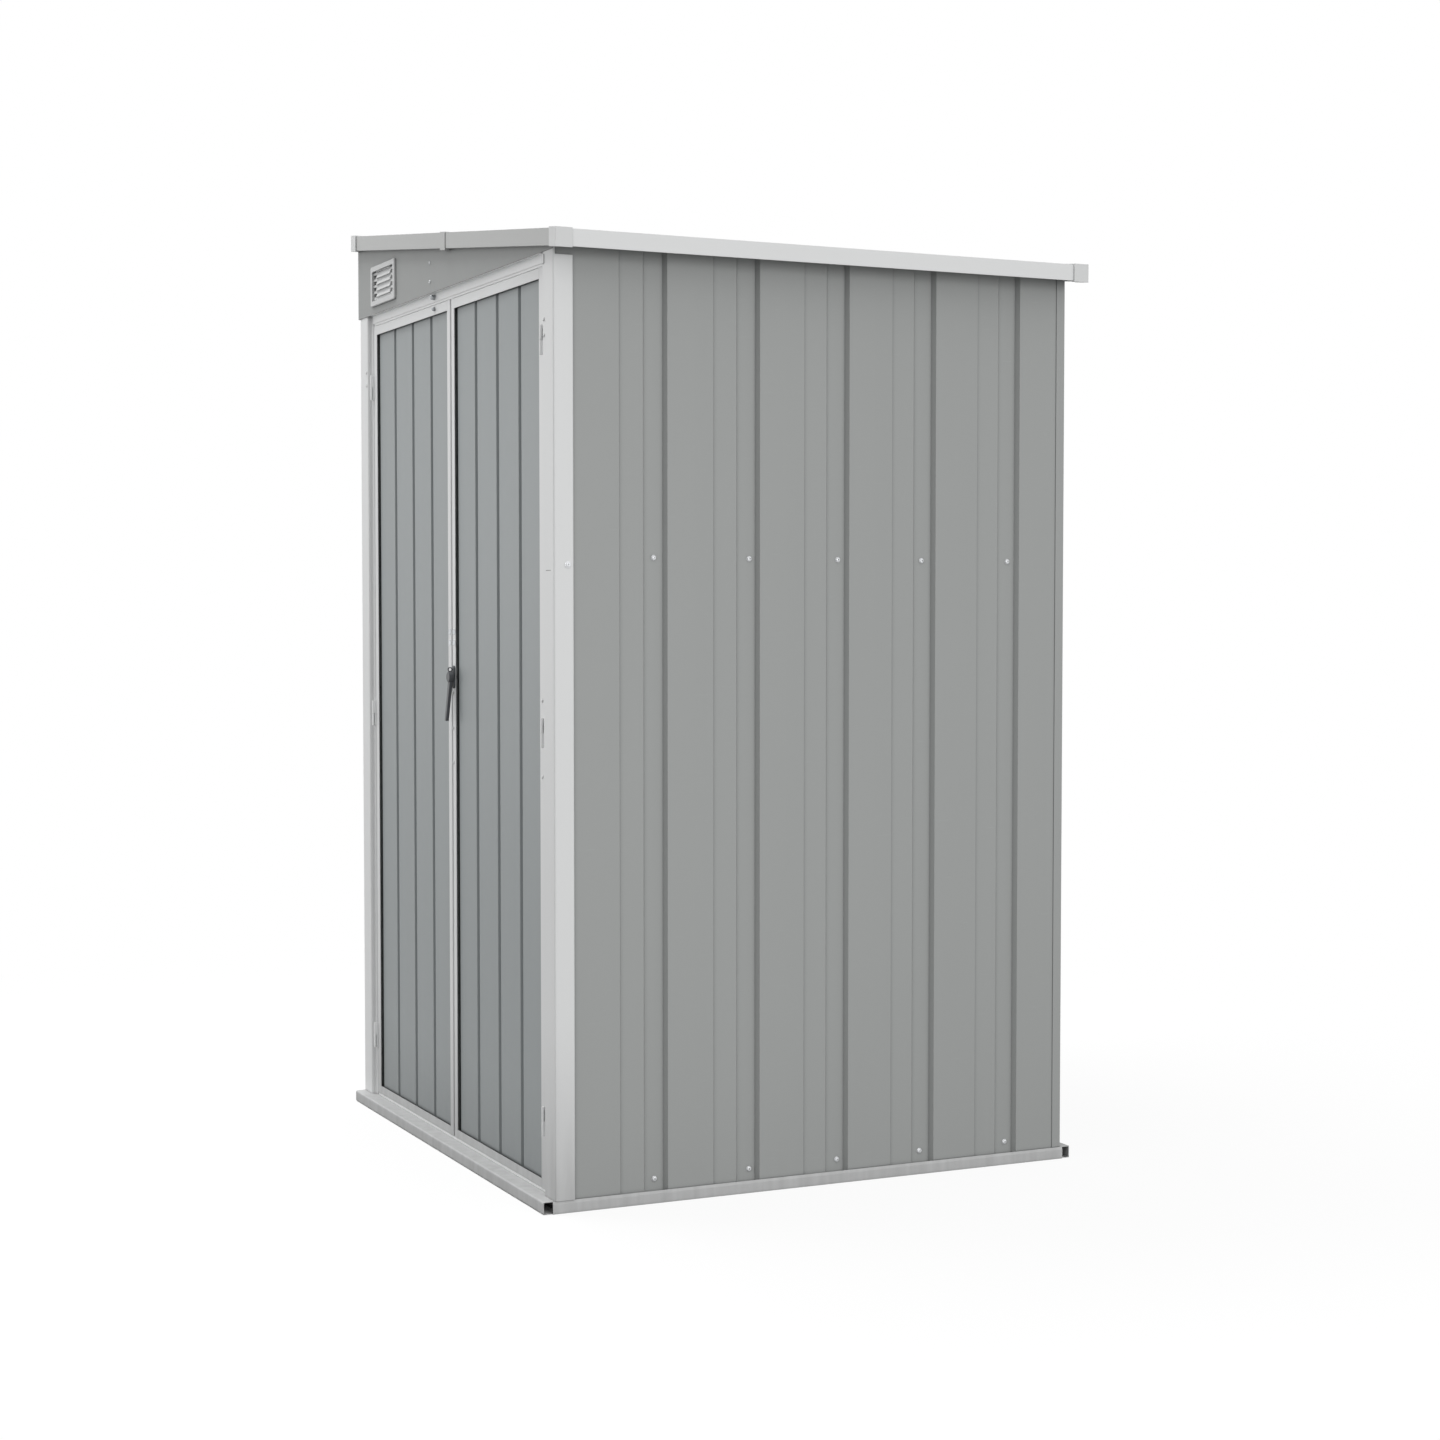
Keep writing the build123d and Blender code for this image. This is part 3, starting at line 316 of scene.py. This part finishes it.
def dust_and_low_shade_group():
    """Dust, and painted shade, that lie thickest near the ground and thin out upwards in faint streaks."""
    group, given, result = new_group(
        "ground_dust_and_low_shade", {"Reach": 0.25, "Amount": 0.2}, {"Mask": "NodeSocketFloat"}
    )
    place = own_place(group)
    height = add(group, "ShaderNodeSeparateXYZ", {0: place}).outputs["Z"]
    share = math_node(group, "DIVIDE", height, given["Reach"])
    near = math_node(group, "SUBTRACT", 1.0, share, clamp=True)
    near = math_node(group, "POWER", near, DUST_AND_SHADE_FADE)
    lines = noise(group, mapped(group, place, Scale=STREAK_STRETCH), *LOW_STREAKS)
    mask = math_node(group, "MULTIPLY", near, map_range(group, lines, STREAKS_FROM_TO, STREAK_STRENGTH))
    mask = math_node(group, "MULTIPLY", mask, given["Amount"], clamp=True)
    group.links.new(mask, result["Mask"])
    return group


def crease_shade_group():
    """Painted shade in folds, grooves and the joints between sheets, darker the more each spot is hidden."""
    group, given, result = new_group(
        "painted_crease_shade", {"Distance": 0.012, "Amount": 0.5}, {"Mask": "NodeSocketFloat"}
    )
    reach = {"Distance": given["Distance"]}
    hidden = add(group, "ShaderNodeAmbientOcclusion", reach, samples=HIDDEN_SAMPLES).outputs["AO"]
    mask = map_range(group, hidden, HIDDEN_FROM_TO)
    mask = math_node(group, "MULTIPLY", mask, given["Amount"], clamp=True)
    group.links.new(mask, result["Mask"])
    return group


def handling_group():
    """Sparse hairline scuffs that run mostly across, as tools and sleeves leave them."""
    group, given, result = new_group(
        "handling_scuffs", {"Scale": 30.0, "Amount": 0.1}, {"Mask": "NodeSocketFloat"}
    )
    tilted = mapped(group, own_place(group), Rotation=SCUFF_TILT, Scale=SCUFF_STRETCH)
    lines = noise(group, tilted, given["Scale"], SCUFF_DETAIL)
    mask = map_range(group, lines, SCUFFED_FROM_TO)
    mask = math_node(group, "MULTIPLY", mask, given["Amount"], clamp=True)
    group.links.new(mask, result["Mask"])
    return group


PAINT_FILM = paint_film_group()
EDGE_WEAR = edge_wear_group()
DUST_AND_LOW_SHADE = dust_and_low_shade_group()
CREASE_SHADE_GROUP = crease_shade_group()
SCUFFS = handling_group()


# Finishes

FINISHES = {}


def layered(name, colour, film, wear, dust_and_shade, crease_shade, scuffs):
    """Material with the shared layers joined up to its own shader."""
    material = bpy.data.materials.new(name)
    material.use_nodes = True
    tree = material.node_tree
    surface = tree.nodes["Principled BSDF"]
    coat = add(tree, "ShaderNodeGroup", {"Colour": screen(colour), **film}, node_tree=PAINT_FILM)
    edges = add(tree, "ShaderNodeGroup", wear, node_tree=EDGE_WEAR)
    low_darkening = add(tree, "ShaderNodeGroup", dust_and_shade, node_tree=DUST_AND_LOW_SHADE)
    folds = add(tree, "ShaderNodeGroup", crease_shade, node_tree=CREASE_SHADE_GROUP)
    marks = add(tree, "ShaderNodeGroup", scuffs, node_tree=SCUFFS)
    worn = mix_colour(tree, edges.outputs["Mask"], coat.outputs["Colour"], screen(BARE_STEEL))
    scuffed = mix_colour(tree, marks.outputs["Mask"], worn, screen(BARE_STEEL))
    # darker towards the foot: dust, and painted shade
    darkened_low = mix_colour(tree, low_darkening.outputs["Mask"], scuffed, screen(DUST_AND_SHADE_GREY))
    # painted shade in creases and joints, darker the more each spot is hidden
    crease_shaded = mix_colour(tree, folds.outputs["Mask"], darkened_low, screen(SHADE_BLACK))
    dull = math_node(tree, "MULTIPLY", low_darkening.outputs["Mask"], DUST_DULLNESS)
    rough = math_node(tree, "ADD", coat.outputs["Roughness"], dull)
    rough = math_node(tree, "ADD", rough, marks.outputs["Mask"], clamp=True)
    relief = {"Height": coat.outputs["Height"], "Normal": edges.outputs["Normal"]}
    bump = add(tree, "ShaderNodeBump", {**relief, "Distance": 1.0, "Strength": 1.0})
    tree.links.new(crease_shaded, surface.inputs["Base Color"])
    tree.links.new(rough, surface.inputs["Roughness"])
    tree.links.new(bump.outputs[0], surface.inputs["Normal"])
    FINISHES[name] = material
    return surface


def coated(name, colour, roughness, waves=0.0, dust_and_shade=0.0, dust_and_shade_reach=0.25, folds=0.005, crease_shade=0.3, wear=0.2):
    """Painted sheet or moulded plastic."""
    surface = layered(
        name, colour,
        {"Drift": 0.05, "Roughness": roughness, "Spread": 0.08, "Peel": 0.000012, "Waves": waves},
        {"Radius": 0.0010, "Reach": wear},
        {"Reach": dust_and_shade_reach, "Amount": dust_and_shade},
        {"Distance": folds, "Amount": crease_shade},
        {"Scale": 26.0, "Amount": 0.06},
    )
    surface.inputs["Specular IOR Level"].default_value = PAINT_SPECULAR


def bare_metal(name, colour, roughness, spangle, metallic):
    """Zinc finish: the shared layers, under a faint crystal pattern."""
    surface = layered(
        name, colour,
        {"Drift": 0.10, "Roughness": roughness, "Spread": 0.15, "Peel": 0.000008, "Waves": 0.0002},
        {"Radius": 0.0006, "Reach": 0.3},
        {"Reach": 0.2, "Amount": 0.05},
        {"Distance": 0.010, "Amount": 0.4},
        {"Scale": 40.0, "Amount": 0.12},
    )
    tree = surface.id_data
    below = surface.inputs["Base Color"].links[0].from_socket
    crystals = {"Vector": own_place(tree), "Scale": CRYSTALS}
    shades = add(tree, "ShaderNodeTexVoronoi", crystals).outputs["Color"]
    grain = add(tree, "ShaderNodeSeparateColor", {0: shades}).outputs[0]
    faint = math_node(tree, "MULTIPLY", grain, spangle)
    tree.links.new(mix_colour(tree, faint, below, screen(CRYSTAL_SHADE)), surface.inputs["Base Color"])
    surface.inputs["Metallic"].default_value = metallic


# Each finish below paints shade into its creases and joints, by how hidden each spot is
coated("grey_sheet", GREY_PAINT, 0.45, waves=0.0006, dust_and_shade=0.06, folds=0.008, crease_shade=0.65)
# darker copy of the grey sheet, with the shade under the front roof edge painted in
coated("shaded_gable_sheet", SHADED_GABLE_PAINT, 0.45, waves=0.0004, folds=0.008, crease_shade=0.6)
# The doors and the white steel darken towards the foot: partly dust, partly painted shade
coated("door_sheet", DOOR_PAINT, 0.42, waves=0.0006, dust_and_shade=0.30, dust_and_shade_reach=0.20, folds=0.007, crease_shade=1.0)
coated("white_steel", WHITE_PAINT, 0.36, waves=0.0003, dust_and_shade=0.46, dust_and_shade_reach=0.34)
# the same white paint, without the dust and painted shade at its foot
coated("white_steel_no_foot_shade", WHITE_PAINT, 0.36, waves=0.0003)
# lighter copy of the white paint, which paints light into the shaded header, hinge leaves and lips
coated("lightened_white_steel", LIGHTENED_WHITE_PAINT, 0.36, crease_shade=0.0)
# darker copy of the white paint, with the front trims' shade painted in
coated("shaded_gable_trim_steel", SHADED_TRIM_PAINT, 0.40, waves=0.0003)
coated("white_plastic", WHITE_PLASTIC, 0.45, wear=0.05)
coated("vent_plastic", VENT_PLASTIC, 0.45, wear=0.05)
coated("black_plastic", BLACK_PLASTIC, 0.40, wear=0.08)
bare_metal("inner_steel", GALVANISED, 0.42, spangle=0.35, metallic=0.75)
bare_metal("zinc", ZINC, 0.30, spangle=0.10, metallic=0.30)
# black of the plates that paint in shadow: at the door panels' edges and in the right post's slit
coated("shadow_black", SHADE_BLACK, 0.6, crease_shade=0.0, wear=0.0)

# Nodes whose shade differs from their slot's: lighter or darker copies of the slot's paint, which paint in
# light and shade, the left post's white without its painted foot shade, and the vent's own darker plastic
OWN_FINISHES = {
    "shaded_gable_trim_steel": ("roof_trim_front", "roof_trim_rear", "trim_joiner_front", "trim_joiner_rear"),
    "shaded_gable_sheet": ("gable_panel_front",),
    "vent_plastic": ("gable_vent",),
    "white_steel_no_foot_shade": ("front_post_left",),
    "lightened_white_steel": (
        "door_header", "door_right_hinge_leaves", "door_left_hinge_leaves",
        "post_right_hinge_leaves", "post_left_hinge_leaves",
    ),
}


def dress_nodes():
    """Gives each node of the model its finish."""
    own = {name: finish for finish, names in OWN_FINISHES.items() for name in names}
    for entry in frame["record"]["subparts"]:
        finish = own.get(entry["node"], entry["material_slot"])
        node = frame["nodes"][entry["node"]]
        node.data.materials.clear()
        node.data.materials.append(FINISHES[finish])


# Screws, rivets and buffers

FIXING_SIZES = ("Head Radius", "Head Height", "Washer Radius", "Washer Height", "Recess Width")


def fixing_shape(tree, given):
    """Closed washer with a domed head, pulled up step by step from a round foot."""
    washer = given["Washer Height"]
    head = given["Head Height"]
    circle = {"Vertices": FIXING_SIDES, "Radius": given["Washer Radius"]}
    foot = add(tree, "GeometryNodeMeshCircle", circle, fill_type="NGON").outputs[0]
    inset = math_node(tree, "DIVIDE", given["Head Radius"], given["Washer Radius"])
    steps = [
        (math_node(tree, "MULTIPLY", washer, WASHER_EDGE), 1.0),
        (math_node(tree, "MULTIPLY", washer, 1.0 - WASHER_EDGE), inset),
    ]
    steps += [(math_node(tree, "MULTIPLY", head, rise), width) for rise, width in DOME]
    shape = foot
    top = None
    for rise, width in steps:
        pull = add(tree, "GeometryNodeExtrudeMesh", {"Mesh": shape, "Offset Scale": rise})
        if top is not None:
            tree.links.new(top, pull.inputs["Selection"])
        top = pull.outputs["Top"]
        narrowing = {"Geometry": pull.outputs["Mesh"], "Selection": top, "Scale": width}
        shape = add(tree, "GeometryNodeScaleElements", narrowing).outputs[0]
    under = add(tree, "GeometryNodeFlipFaces", {"Mesh": foot}).outputs[0]
    whole = add(tree, "GeometryNodeJoinGeometry", {"Geometry": shape})
    tree.links.new(under, whole.inputs["Geometry"])
    welded = {"Geometry": whole.outputs[0], "Distance": WELD}
    return add(tree, "GeometryNodeMergeByDistance", welded).outputs[0]


def cross_recess(tree, given, whole):
    """The fixing with a cross cut into its crown, or uncut where its recess width is 0."""
    width = given["Recess Width"]
    height = math_node(tree, "ADD", given["Washer Height"], given["Head Height"])
    crown = add(tree, "ShaderNodeCombineXYZ", {"Z": height}).outputs[0]
    span = math_node(tree, "MULTIPLY", given["Head Radius"], RECESS_SPAN)
    depth = math_node(tree, "MULTIPLY", given["Head Height"], RECESS_DEPTH)
    cut = add(tree, "GeometryNodeMeshBoolean", {"Mesh 1": whole}, operation="DIFFERENCE")
    for across, along in ((span, width), (width, span)):
        size = add(tree, "ShaderNodeCombineXYZ", {"X": across, "Y": along, "Z": depth}).outputs[0]
        bar = add(tree, "GeometryNodeMeshCube", {"Size": size}).outputs[0]
        sunk = add(tree, "GeometryNodeTransform", {"Geometry": bar, "Translation": crown}).outputs[0]
        tree.links.new(sunk, cut.inputs["Mesh 2"])
    recessed = add(tree, "FunctionNodeCompare", {0: width, 1: 0.0}, operation="GREATER_THAN").outputs[0]
    either = {"Switch": recessed, "False": whole, "True": cut.outputs[0]}
    return add(tree, "GeometryNodeSwitch", either, input_type="GEOMETRY").outputs[0]


def fixing_turn(tree, given):
    """Rotation that stands a fixing on its skin, spun by a random angle."""
    skin = add(tree, "GeometryNodeInputNamedAttribute", {"Name": "outward"}, data_type="FLOAT_VECTOR")
    outward = skin.outputs["Attribute"]
    upright = add(tree, "FunctionNodeAlignRotationToVector", {"Vector": outward}, axis="Z").outputs[0]
    draw = {2: 0.0, 3: 2 * math.pi, "Seed": given["Seed"]}      # 2 and 3 take the least and the most
    angle = add(tree, "FunctionNodeRandomValue", draw, data_type="FLOAT").outputs[1]
    turn = add(tree, "FunctionNodeAxisAngleToRotation", {"Axis": (0, 0, 1), "Angle": angle}).outputs[0]
    both = {"Rotation": upright, "Rotate By": turn}
    return add(tree, "FunctionNodeRotateRotation", both, rotation_space="LOCAL").outputs[0]


def fixing_tree():
    """Tree that sets a washer and a domed head, with a cross recess, on every point."""
    tree = bpy.data.node_groups.new("sheet_fixings", "GeometryNodeTree")
    tree.is_modifier = True
    sockets = [("Geometry", "NodeSocketGeometry")]
    sockets += [(label, "NodeSocketFloat") for label in FIXING_SIZES]
    sockets += [("Seed", "NodeSocketInt"), ("Finish", "NodeSocketMaterial")]
    for label, kind in sockets:
        tree.interface.new_socket(label, in_out="INPUT", socket_type=kind)
    tree.interface.new_socket("Geometry", in_out="OUTPUT", socket_type="NodeSocketGeometry")
    given = tree.nodes.new("NodeGroupInput").outputs
    result = tree.nodes.new("NodeGroupOutput")
    fixing = cross_recess(tree, given, fixing_shape(tree, given))
    spots = {"Points": given["Geometry"], "Instance": fixing, "Rotation": fixing_turn(tree, given)}
    placed = add(tree, "GeometryNodeInstanceOnPoints", spots).outputs[0]
    real = add(tree, "GeometryNodeRealizeInstances", {"Geometry": placed}).outputs[0]
    dressed = {"Geometry": real, "Material": given["Finish"]}
    finished = add(tree, "GeometryNodeSetMaterial", dressed).outputs[0]
    tree.links.new(finished, result.inputs["Geometry"])
    return tree


FIXINGS = fixing_tree()


def seat(node, start, direction):
    """Where a line from start meets a node's skin, and the skin's outward direction there."""
    hit, place, outward, _ = frame["nodes"][node].ray_cast(Vector(start), Vector(direction))
    if not hit:
        raise ValueError(f"no skin of {node} from {start}")
    return place, outward


def on_front(node, x, z):
    return seat(node, (x, -OUTSIDE, z), (0, 1, 0))


def on_rear(node, x, z):
    return seat(node, (x, OUTSIDE, z), (0, -1, 0))


def on_side(node, side, y, z):
    return seat(node, (side * OUTSIDE, y, z), (-side, 0, 0))


def fixing_points(name, spots):
    """Bare points at (place, outward direction) spots."""
    mesh = bpy.data.meshes.new(name)
    mesh.from_pydata([place for place, _ in spots], [], [])
    outward = mesh.attributes.new("outward", "FLOAT_VECTOR", "POINT")
    outward.data.foreach_set("vector", [part for _, direction in spots for part in direction])
    return new_object(name, mesh)


def fixings(name, body, slot, sizes, spots, seed):
    """One mesh of equal fixings on a body, at (place, outward direction) spots."""
    points = fixing_points(name + "_points", spots)
    modifier = points.modifiers.new("fixings", "NODES")
    modifier.node_group = FIXINGS
    values = dict(zip(FIXING_SIZES, sizes), Seed=seed, Finish=FINISHES[slot])
    for item in FIXINGS.interface.items_tree:
        if item.item_type == "SOCKET" and item.in_out == "INPUT" and item.name in values:
            modifier[item.identifier] = values[item.name]
    graph = bpy.context.evaluated_depsgraph_get()
    shape = bpy.data.meshes.new_from_object(points.evaluated_get(graph), depsgraph=graph)
    points.modifiers.remove(modifier)
    bpy.data.objects.remove(points)
    shape.name = name
    new_piece(name, shape, body)


def wall_screws():
    rear = [REAR_SCREW_FIRST - i * REAR_SCREW_PITCH for i in range(REAR_SCREW_COUNT)]
    spots = []
    for z in (BASE_SCREWS, MID_SCREWS):
        spots += [on_side("wall_right", 1, y, z) for y in SIDE_SCREWS]
        spots += [on_side("wall_left", -1, y, z) for y in SIDE_SCREWS]
        spots += [on_rear("wall_rear", x, z) for x in rear]
    fixings("wall_screws", "shed", "zinc", SCREW, spots, seed=11)
    bolts = [on_side("front_post_right", 1, *POST_SCREW), on_side("front_post_left", -1, *POST_SCREW)]
    fixings("post_bolts", "shed", "zinc", POST_BOLT, bolts, seed=18)


def roof_screws():
    spots = []
    for y in ROOF_RIBS:
        sheet = "roof_sheet_front" if y < 0 else "roof_sheet_rear"
        spots += [seat(sheet, (x, y, ABOVE), (0, 0, -1)) for x in ROOF_ROWS]
    fixings("roof_screws", "shed", "zinc", SCREW, spots, seed=12)


def front_fixings():
    strut = [on_front("gable_panel_front", STRUT_X, z) for z in STRUT_SCREWS]
    fixings("strut_screws", "shed", "zinc", SMALL_SCREW, strut, seed=13)
    header = [on_front("door_header", STRUT_X, HEADER_BUFFER)]
    fixings("header_buffer", "shed", "inner_steel", BUFFER, header, seed=14)
    rail = [on_front("door_left_rails", STRUT_X, DOOR_BUFFER)]
    fixings("door_left_buffer", "door_left", "inner_steel", SMALL_BUFFER, rail, seed=15)
    stiles = [on_front("door_right_stiles", x, z) for x in RIGHT_STILES for z in STILE_RIVETS]
    fixings("door_right_rivets", "door_right", "white_steel", RIVET, stiles, seed=16)
    posts = [on_front("front_post_right", POST_RIVET_X[0], z) for z in POST_RIVETS]
    posts += [on_front("front_post_left", POST_RIVET_X[1], z) for z in POST_RIVETS]
    fixings("post_rivets", "shed", "white_steel", RIVET, posts, seed=17)


# Plates and lips

def join_rims(mesh, first, second):
    """Quads between two closed rims of equally many points."""
    for i in range(len(first)):
        j = (i + 1) % len(first)
        mesh.faces.new((first[i], first[j], second[j], second[i]))


def finished_shape(name, mesh, finish):
    """Mesh of a closed bmesh, with its faces turned outward."""
    bmesh.ops.recalc_face_normals(mesh, faces=mesh.faces)
    shape = bpy.data.meshes.new(name)
    mesh.to_mesh(shape)
    mesh.free()
    shape.materials.append(FINISHES[finish])
    return shape


def plate(mesh, place, size):
    """Adds a round-cornered plate on a skin that faces -Y."""
    x, y, z = place
    width, height, proud, corner = size
    rim = []
    for quarter, (side, end) in enumerate(((1, 1), (-1, 1), (-1, -1), (1, -1))):
        middle = (x + side * (width / 2 - corner), z + end * (height / 2 - corner))
        for turn in QUARTER_BEND:
            angle = math.radians(90 * quarter + turn)
            rim.append((middle[0] + corner * math.cos(angle), middle[1] + corner * math.sin(angle)))
    front = [mesh.verts.new((a, y - proud, b)) for a, b in rim]
    back = [mesh.verts.new((a, y, b)) for a, b in rim]
    mesh.faces.new(front[::-1])
    mesh.faces.new(back)
    join_rims(mesh, front, back)


def plates(name, body, finish, spots, size):
    mesh = bmesh.new()
    for place, _ in spots:
        plate(mesh, place, size)
    new_piece(name, finished_shape(name, mesh, finish), body)


def small_plates():
    for leaf, x in zip(LEAVES, SLOT_X):
        rows = [on_front(leaf + "_stiles", x, z) for z in SLOT_ROWS]
        plates(leaf + "_stile_slots", leaf, "inner_steel", rows, STILE_SLOT)
    # a black plate of painted shadow stands for the dark inside of the post's slit
    slit = [on_front("front_post_right", *POST_SLIT_PLACE)]
    plates("post_right_slit_shadow", "shed", "shadow_black", slit, POST_SLIT)
    clip = [on_front("front_post_right", *POST_CLIP_PLACE)]
    plates("post_right_clip", "shed", "white_steel", clip, POST_CLIP)


def edge_shadow_strips():
    """Black strips of painted shadow where each leaf's sheet dips behind its stiles."""
    for leaf in LEAVES:
        low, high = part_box(leaf + "_rails")
        middle = (low[2] + high[2]) / 2
        size = (SHADOW_STRIP_WIDTH, high[2] - low[2] - 2 * SHADOW_STRIP_SHORT, SHADOW_STRIP_PROUD, SHADOW_STRIP_CORNER)
        edges = (low[0] + SHADOW_STRIP_WIDTH / 2, high[0] - SHADOW_STRIP_WIDTH / 2)
        spots = [on_front(leaf + "_panel", x, middle) for x in edges]
        plates(leaf + "_edge_shadow_strips", leaf, "shadow_black", spots, size)


def lip_line(face, edge, root, inset):
    """Points of a lip's section, as (y, z): along its face, round the bend and back along its return."""
    turn = math.copysign(1.0, root - edge)
    radius = LIP_BEND - inset
    bend = []
    for angle in map(math.radians, QUARTER_BEND):
        y = face + LIP_BEND - radius * math.cos(angle)
        z = edge + turn * (LIP_BEND - radius * math.sin(angle))
        bend.append((y, z))
    return [(face + inset, root), *bend, (face + LIP_RETURN, edge + turn * inset)]


def lip(name, ends, face, edge, root):
    """Sheet bent back at its edge, across the doorway."""
    outer = lip_line(face, edge, root, 0.0)
    inner = lip_line(face, edge, root, LIP_THICK)
    mesh = bmesh.new()
    rims = [[mesh.verts.new((x, y, z)) for y, z in outer + inner[::-1]] for x in ends]
    join_rims(mesh, *rims)
    for rim in rims:
        for i in range(len(outer) - 1):
            mesh.faces.new((rim[i], rim[i + 1], rim[-2 - i], rim[-1 - i]))
    # painted lighter than the white steel, which paints light into the shade behind the leaves
    new_piece(name, finished_shape(name, mesh, "lightened_white_steel"), "shed")


def lips():
    """Folded lips of the header and the sill, which close the doors' running gap from behind."""
    left, front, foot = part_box("door_left_stiles")[0]
    right, _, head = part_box("door_right_stiles")[1]
    ends = (left + LIP_SHORT[0], right - LIP_SHORT[1])
    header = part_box("door_header")[0][2]
    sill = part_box("front_sill")[1][2]
    lip("header_lip", ends, front + LIP_SETBACK, head + LIP_CLEARANCE, header - LIP_SEAM)
    lip("sill_lip", ends, front + LIP_SETBACK, foot - LIP_CLEARANCE, sill + LIP_SEAM)


# Surroundings

def camera():
    data = bpy.data.cameras.new("camera")
    data.lens = LENS
    data.sensor_width = SENSOR
    seen = new_object("camera", data)
    seen.location = CAMERA_PLACE
    seen.rotation_euler = (math.radians(90 - CAMERA_TILT), 0, math.radians(CAMERA_TURN))
    bpy.context.scene.camera = seen


def seen_white(tree):
    """1 for camera, glossy and transmission rays, and 0 for the light that reaches the shed."""
    path = add(tree, "ShaderNodeLightPath").outputs
    straight = math_node(tree, "ADD", path["Is Camera Ray"], path["Is Glossy Ray"], clamp=True)
    return math_node(tree, "ADD", straight, path["Is Transmission Ray"], clamp=True)


def sky():
    """World that lights the shed evenly and is seen as white."""
    world = bpy.data.worlds.new("studio")
    bpy.context.scene.world = world
    world.use_nodes = True
    tree = world.node_tree
    tree.nodes.clear()
    lit = add(tree, "ShaderNodeBackground", {"Color": WHITE, "Strength": GLOW}).outputs[0]
    white = add(tree, "ShaderNodeBackground", {"Color": WHITE, "Strength": 1.0}).outputs[0]
    both = add(tree, "ShaderNodeMixShader", {0: seen_white(tree), 1: lit, 2: white}).outputs[0]
    add(tree, "ShaderNodeOutputWorld", {"Surface": both})


def matt(tree, level):
    """Matt grey of that level, from 0 to 1."""
    return add(tree, "ShaderNodeBsdfDiffuse", {"Color": (level, level, level, 1)}).outputs[0]


def floor_glow(tree):
    """Share of the floor's glow: full far out, less near the shed and none under it."""
    place = own_place(tree)
    away = add(tree, "ShaderNodeVectorMath", {0: place}, operation="LENGTH").outputs["Value"]
    fade = (SHADOW_NEAR, SHADOW_FAR)
    share = map_range(tree, away, fade, (FLOOR_GLOW, 1.0), interpolation_type="SMOOTHSTEP")
    parts = add(tree, "ShaderNodeSeparateXYZ", {0: place}).outputs
    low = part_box("front_sill")[0]
    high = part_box("base_rail_rear")[1]
    outside = []
    for axis, start, end in (("X", low[0], high[0]), ("Y", low[1] + FLOOR_EDGE, high[1] - FLOOR_EDGE)):
        reach = math_node(tree, "ABSOLUTE", math_node(tree, "SUBTRACT", parts[axis], (start + end) / 2))
        outside.append(math_node(tree, "GREATER_THAN", reach, (end - start) / 2))
    return math_node(tree, "MULTIPLY", share, math_node(tree, "MAXIMUM", *outside))


def floor_finish():
    """White where the floor is seen, apart from the shed's shadow, and grey for the light it throws back."""
    material = bpy.data.materials.new("floor")
    material.use_nodes = True
    tree = material.node_tree
    tree.nodes.clear()
    glow = add(tree, "ShaderNodeEmission", {"Color": WHITE, "Strength": 1.0}).outputs[0]
    look = {0: floor_glow(tree), 1: matt(tree, FLOOR_PALE), 2: glow}
    seen = add(tree, "ShaderNodeMixShader", look).outputs[0]
    light = {0: seen_white(tree), 1: matt(tree, FLOOR_BOUNCE), 2: seen}
    both = add(tree, "ShaderNodeMixShader", light).outputs[0]
    add(tree, "ShaderNodeOutputMaterial", {"Surface": both})
    return material


def floor():
    reach = FLOOR_REACH
    corners = [(-reach, -reach, 0), (reach, -reach, 0), (reach, reach, 0), (-reach, reach, 0)]
    mesh = bpy.data.meshes.new("floor")
    mesh.from_pydata(corners, [], [(0, 1, 2, 3)])
    mesh.materials.append(floor_finish())
    new_object("floor", mesh)


def lights():
    for name, (place, target, width, height, power) in LAMPS.items():
        data = bpy.data.lights.new(name, "AREA")
        data.shape = "RECTANGLE"
        data.size = width
        data.size_y = height
        data.energy = power
        lamp = new_object(name, data)
        lamp.location = place
        lamp.rotation_euler = (Vector(target) - Vector(place)).to_track_quat("-Z", "Y").to_euler()


dress_nodes()
wall_screws()
roof_screws()
front_fixings()
small_plates()
edge_shadow_strips()
lips()
camera()
sky()
floor()
lights()
bpy.context.scene.view_settings.view_transform = "Standard"
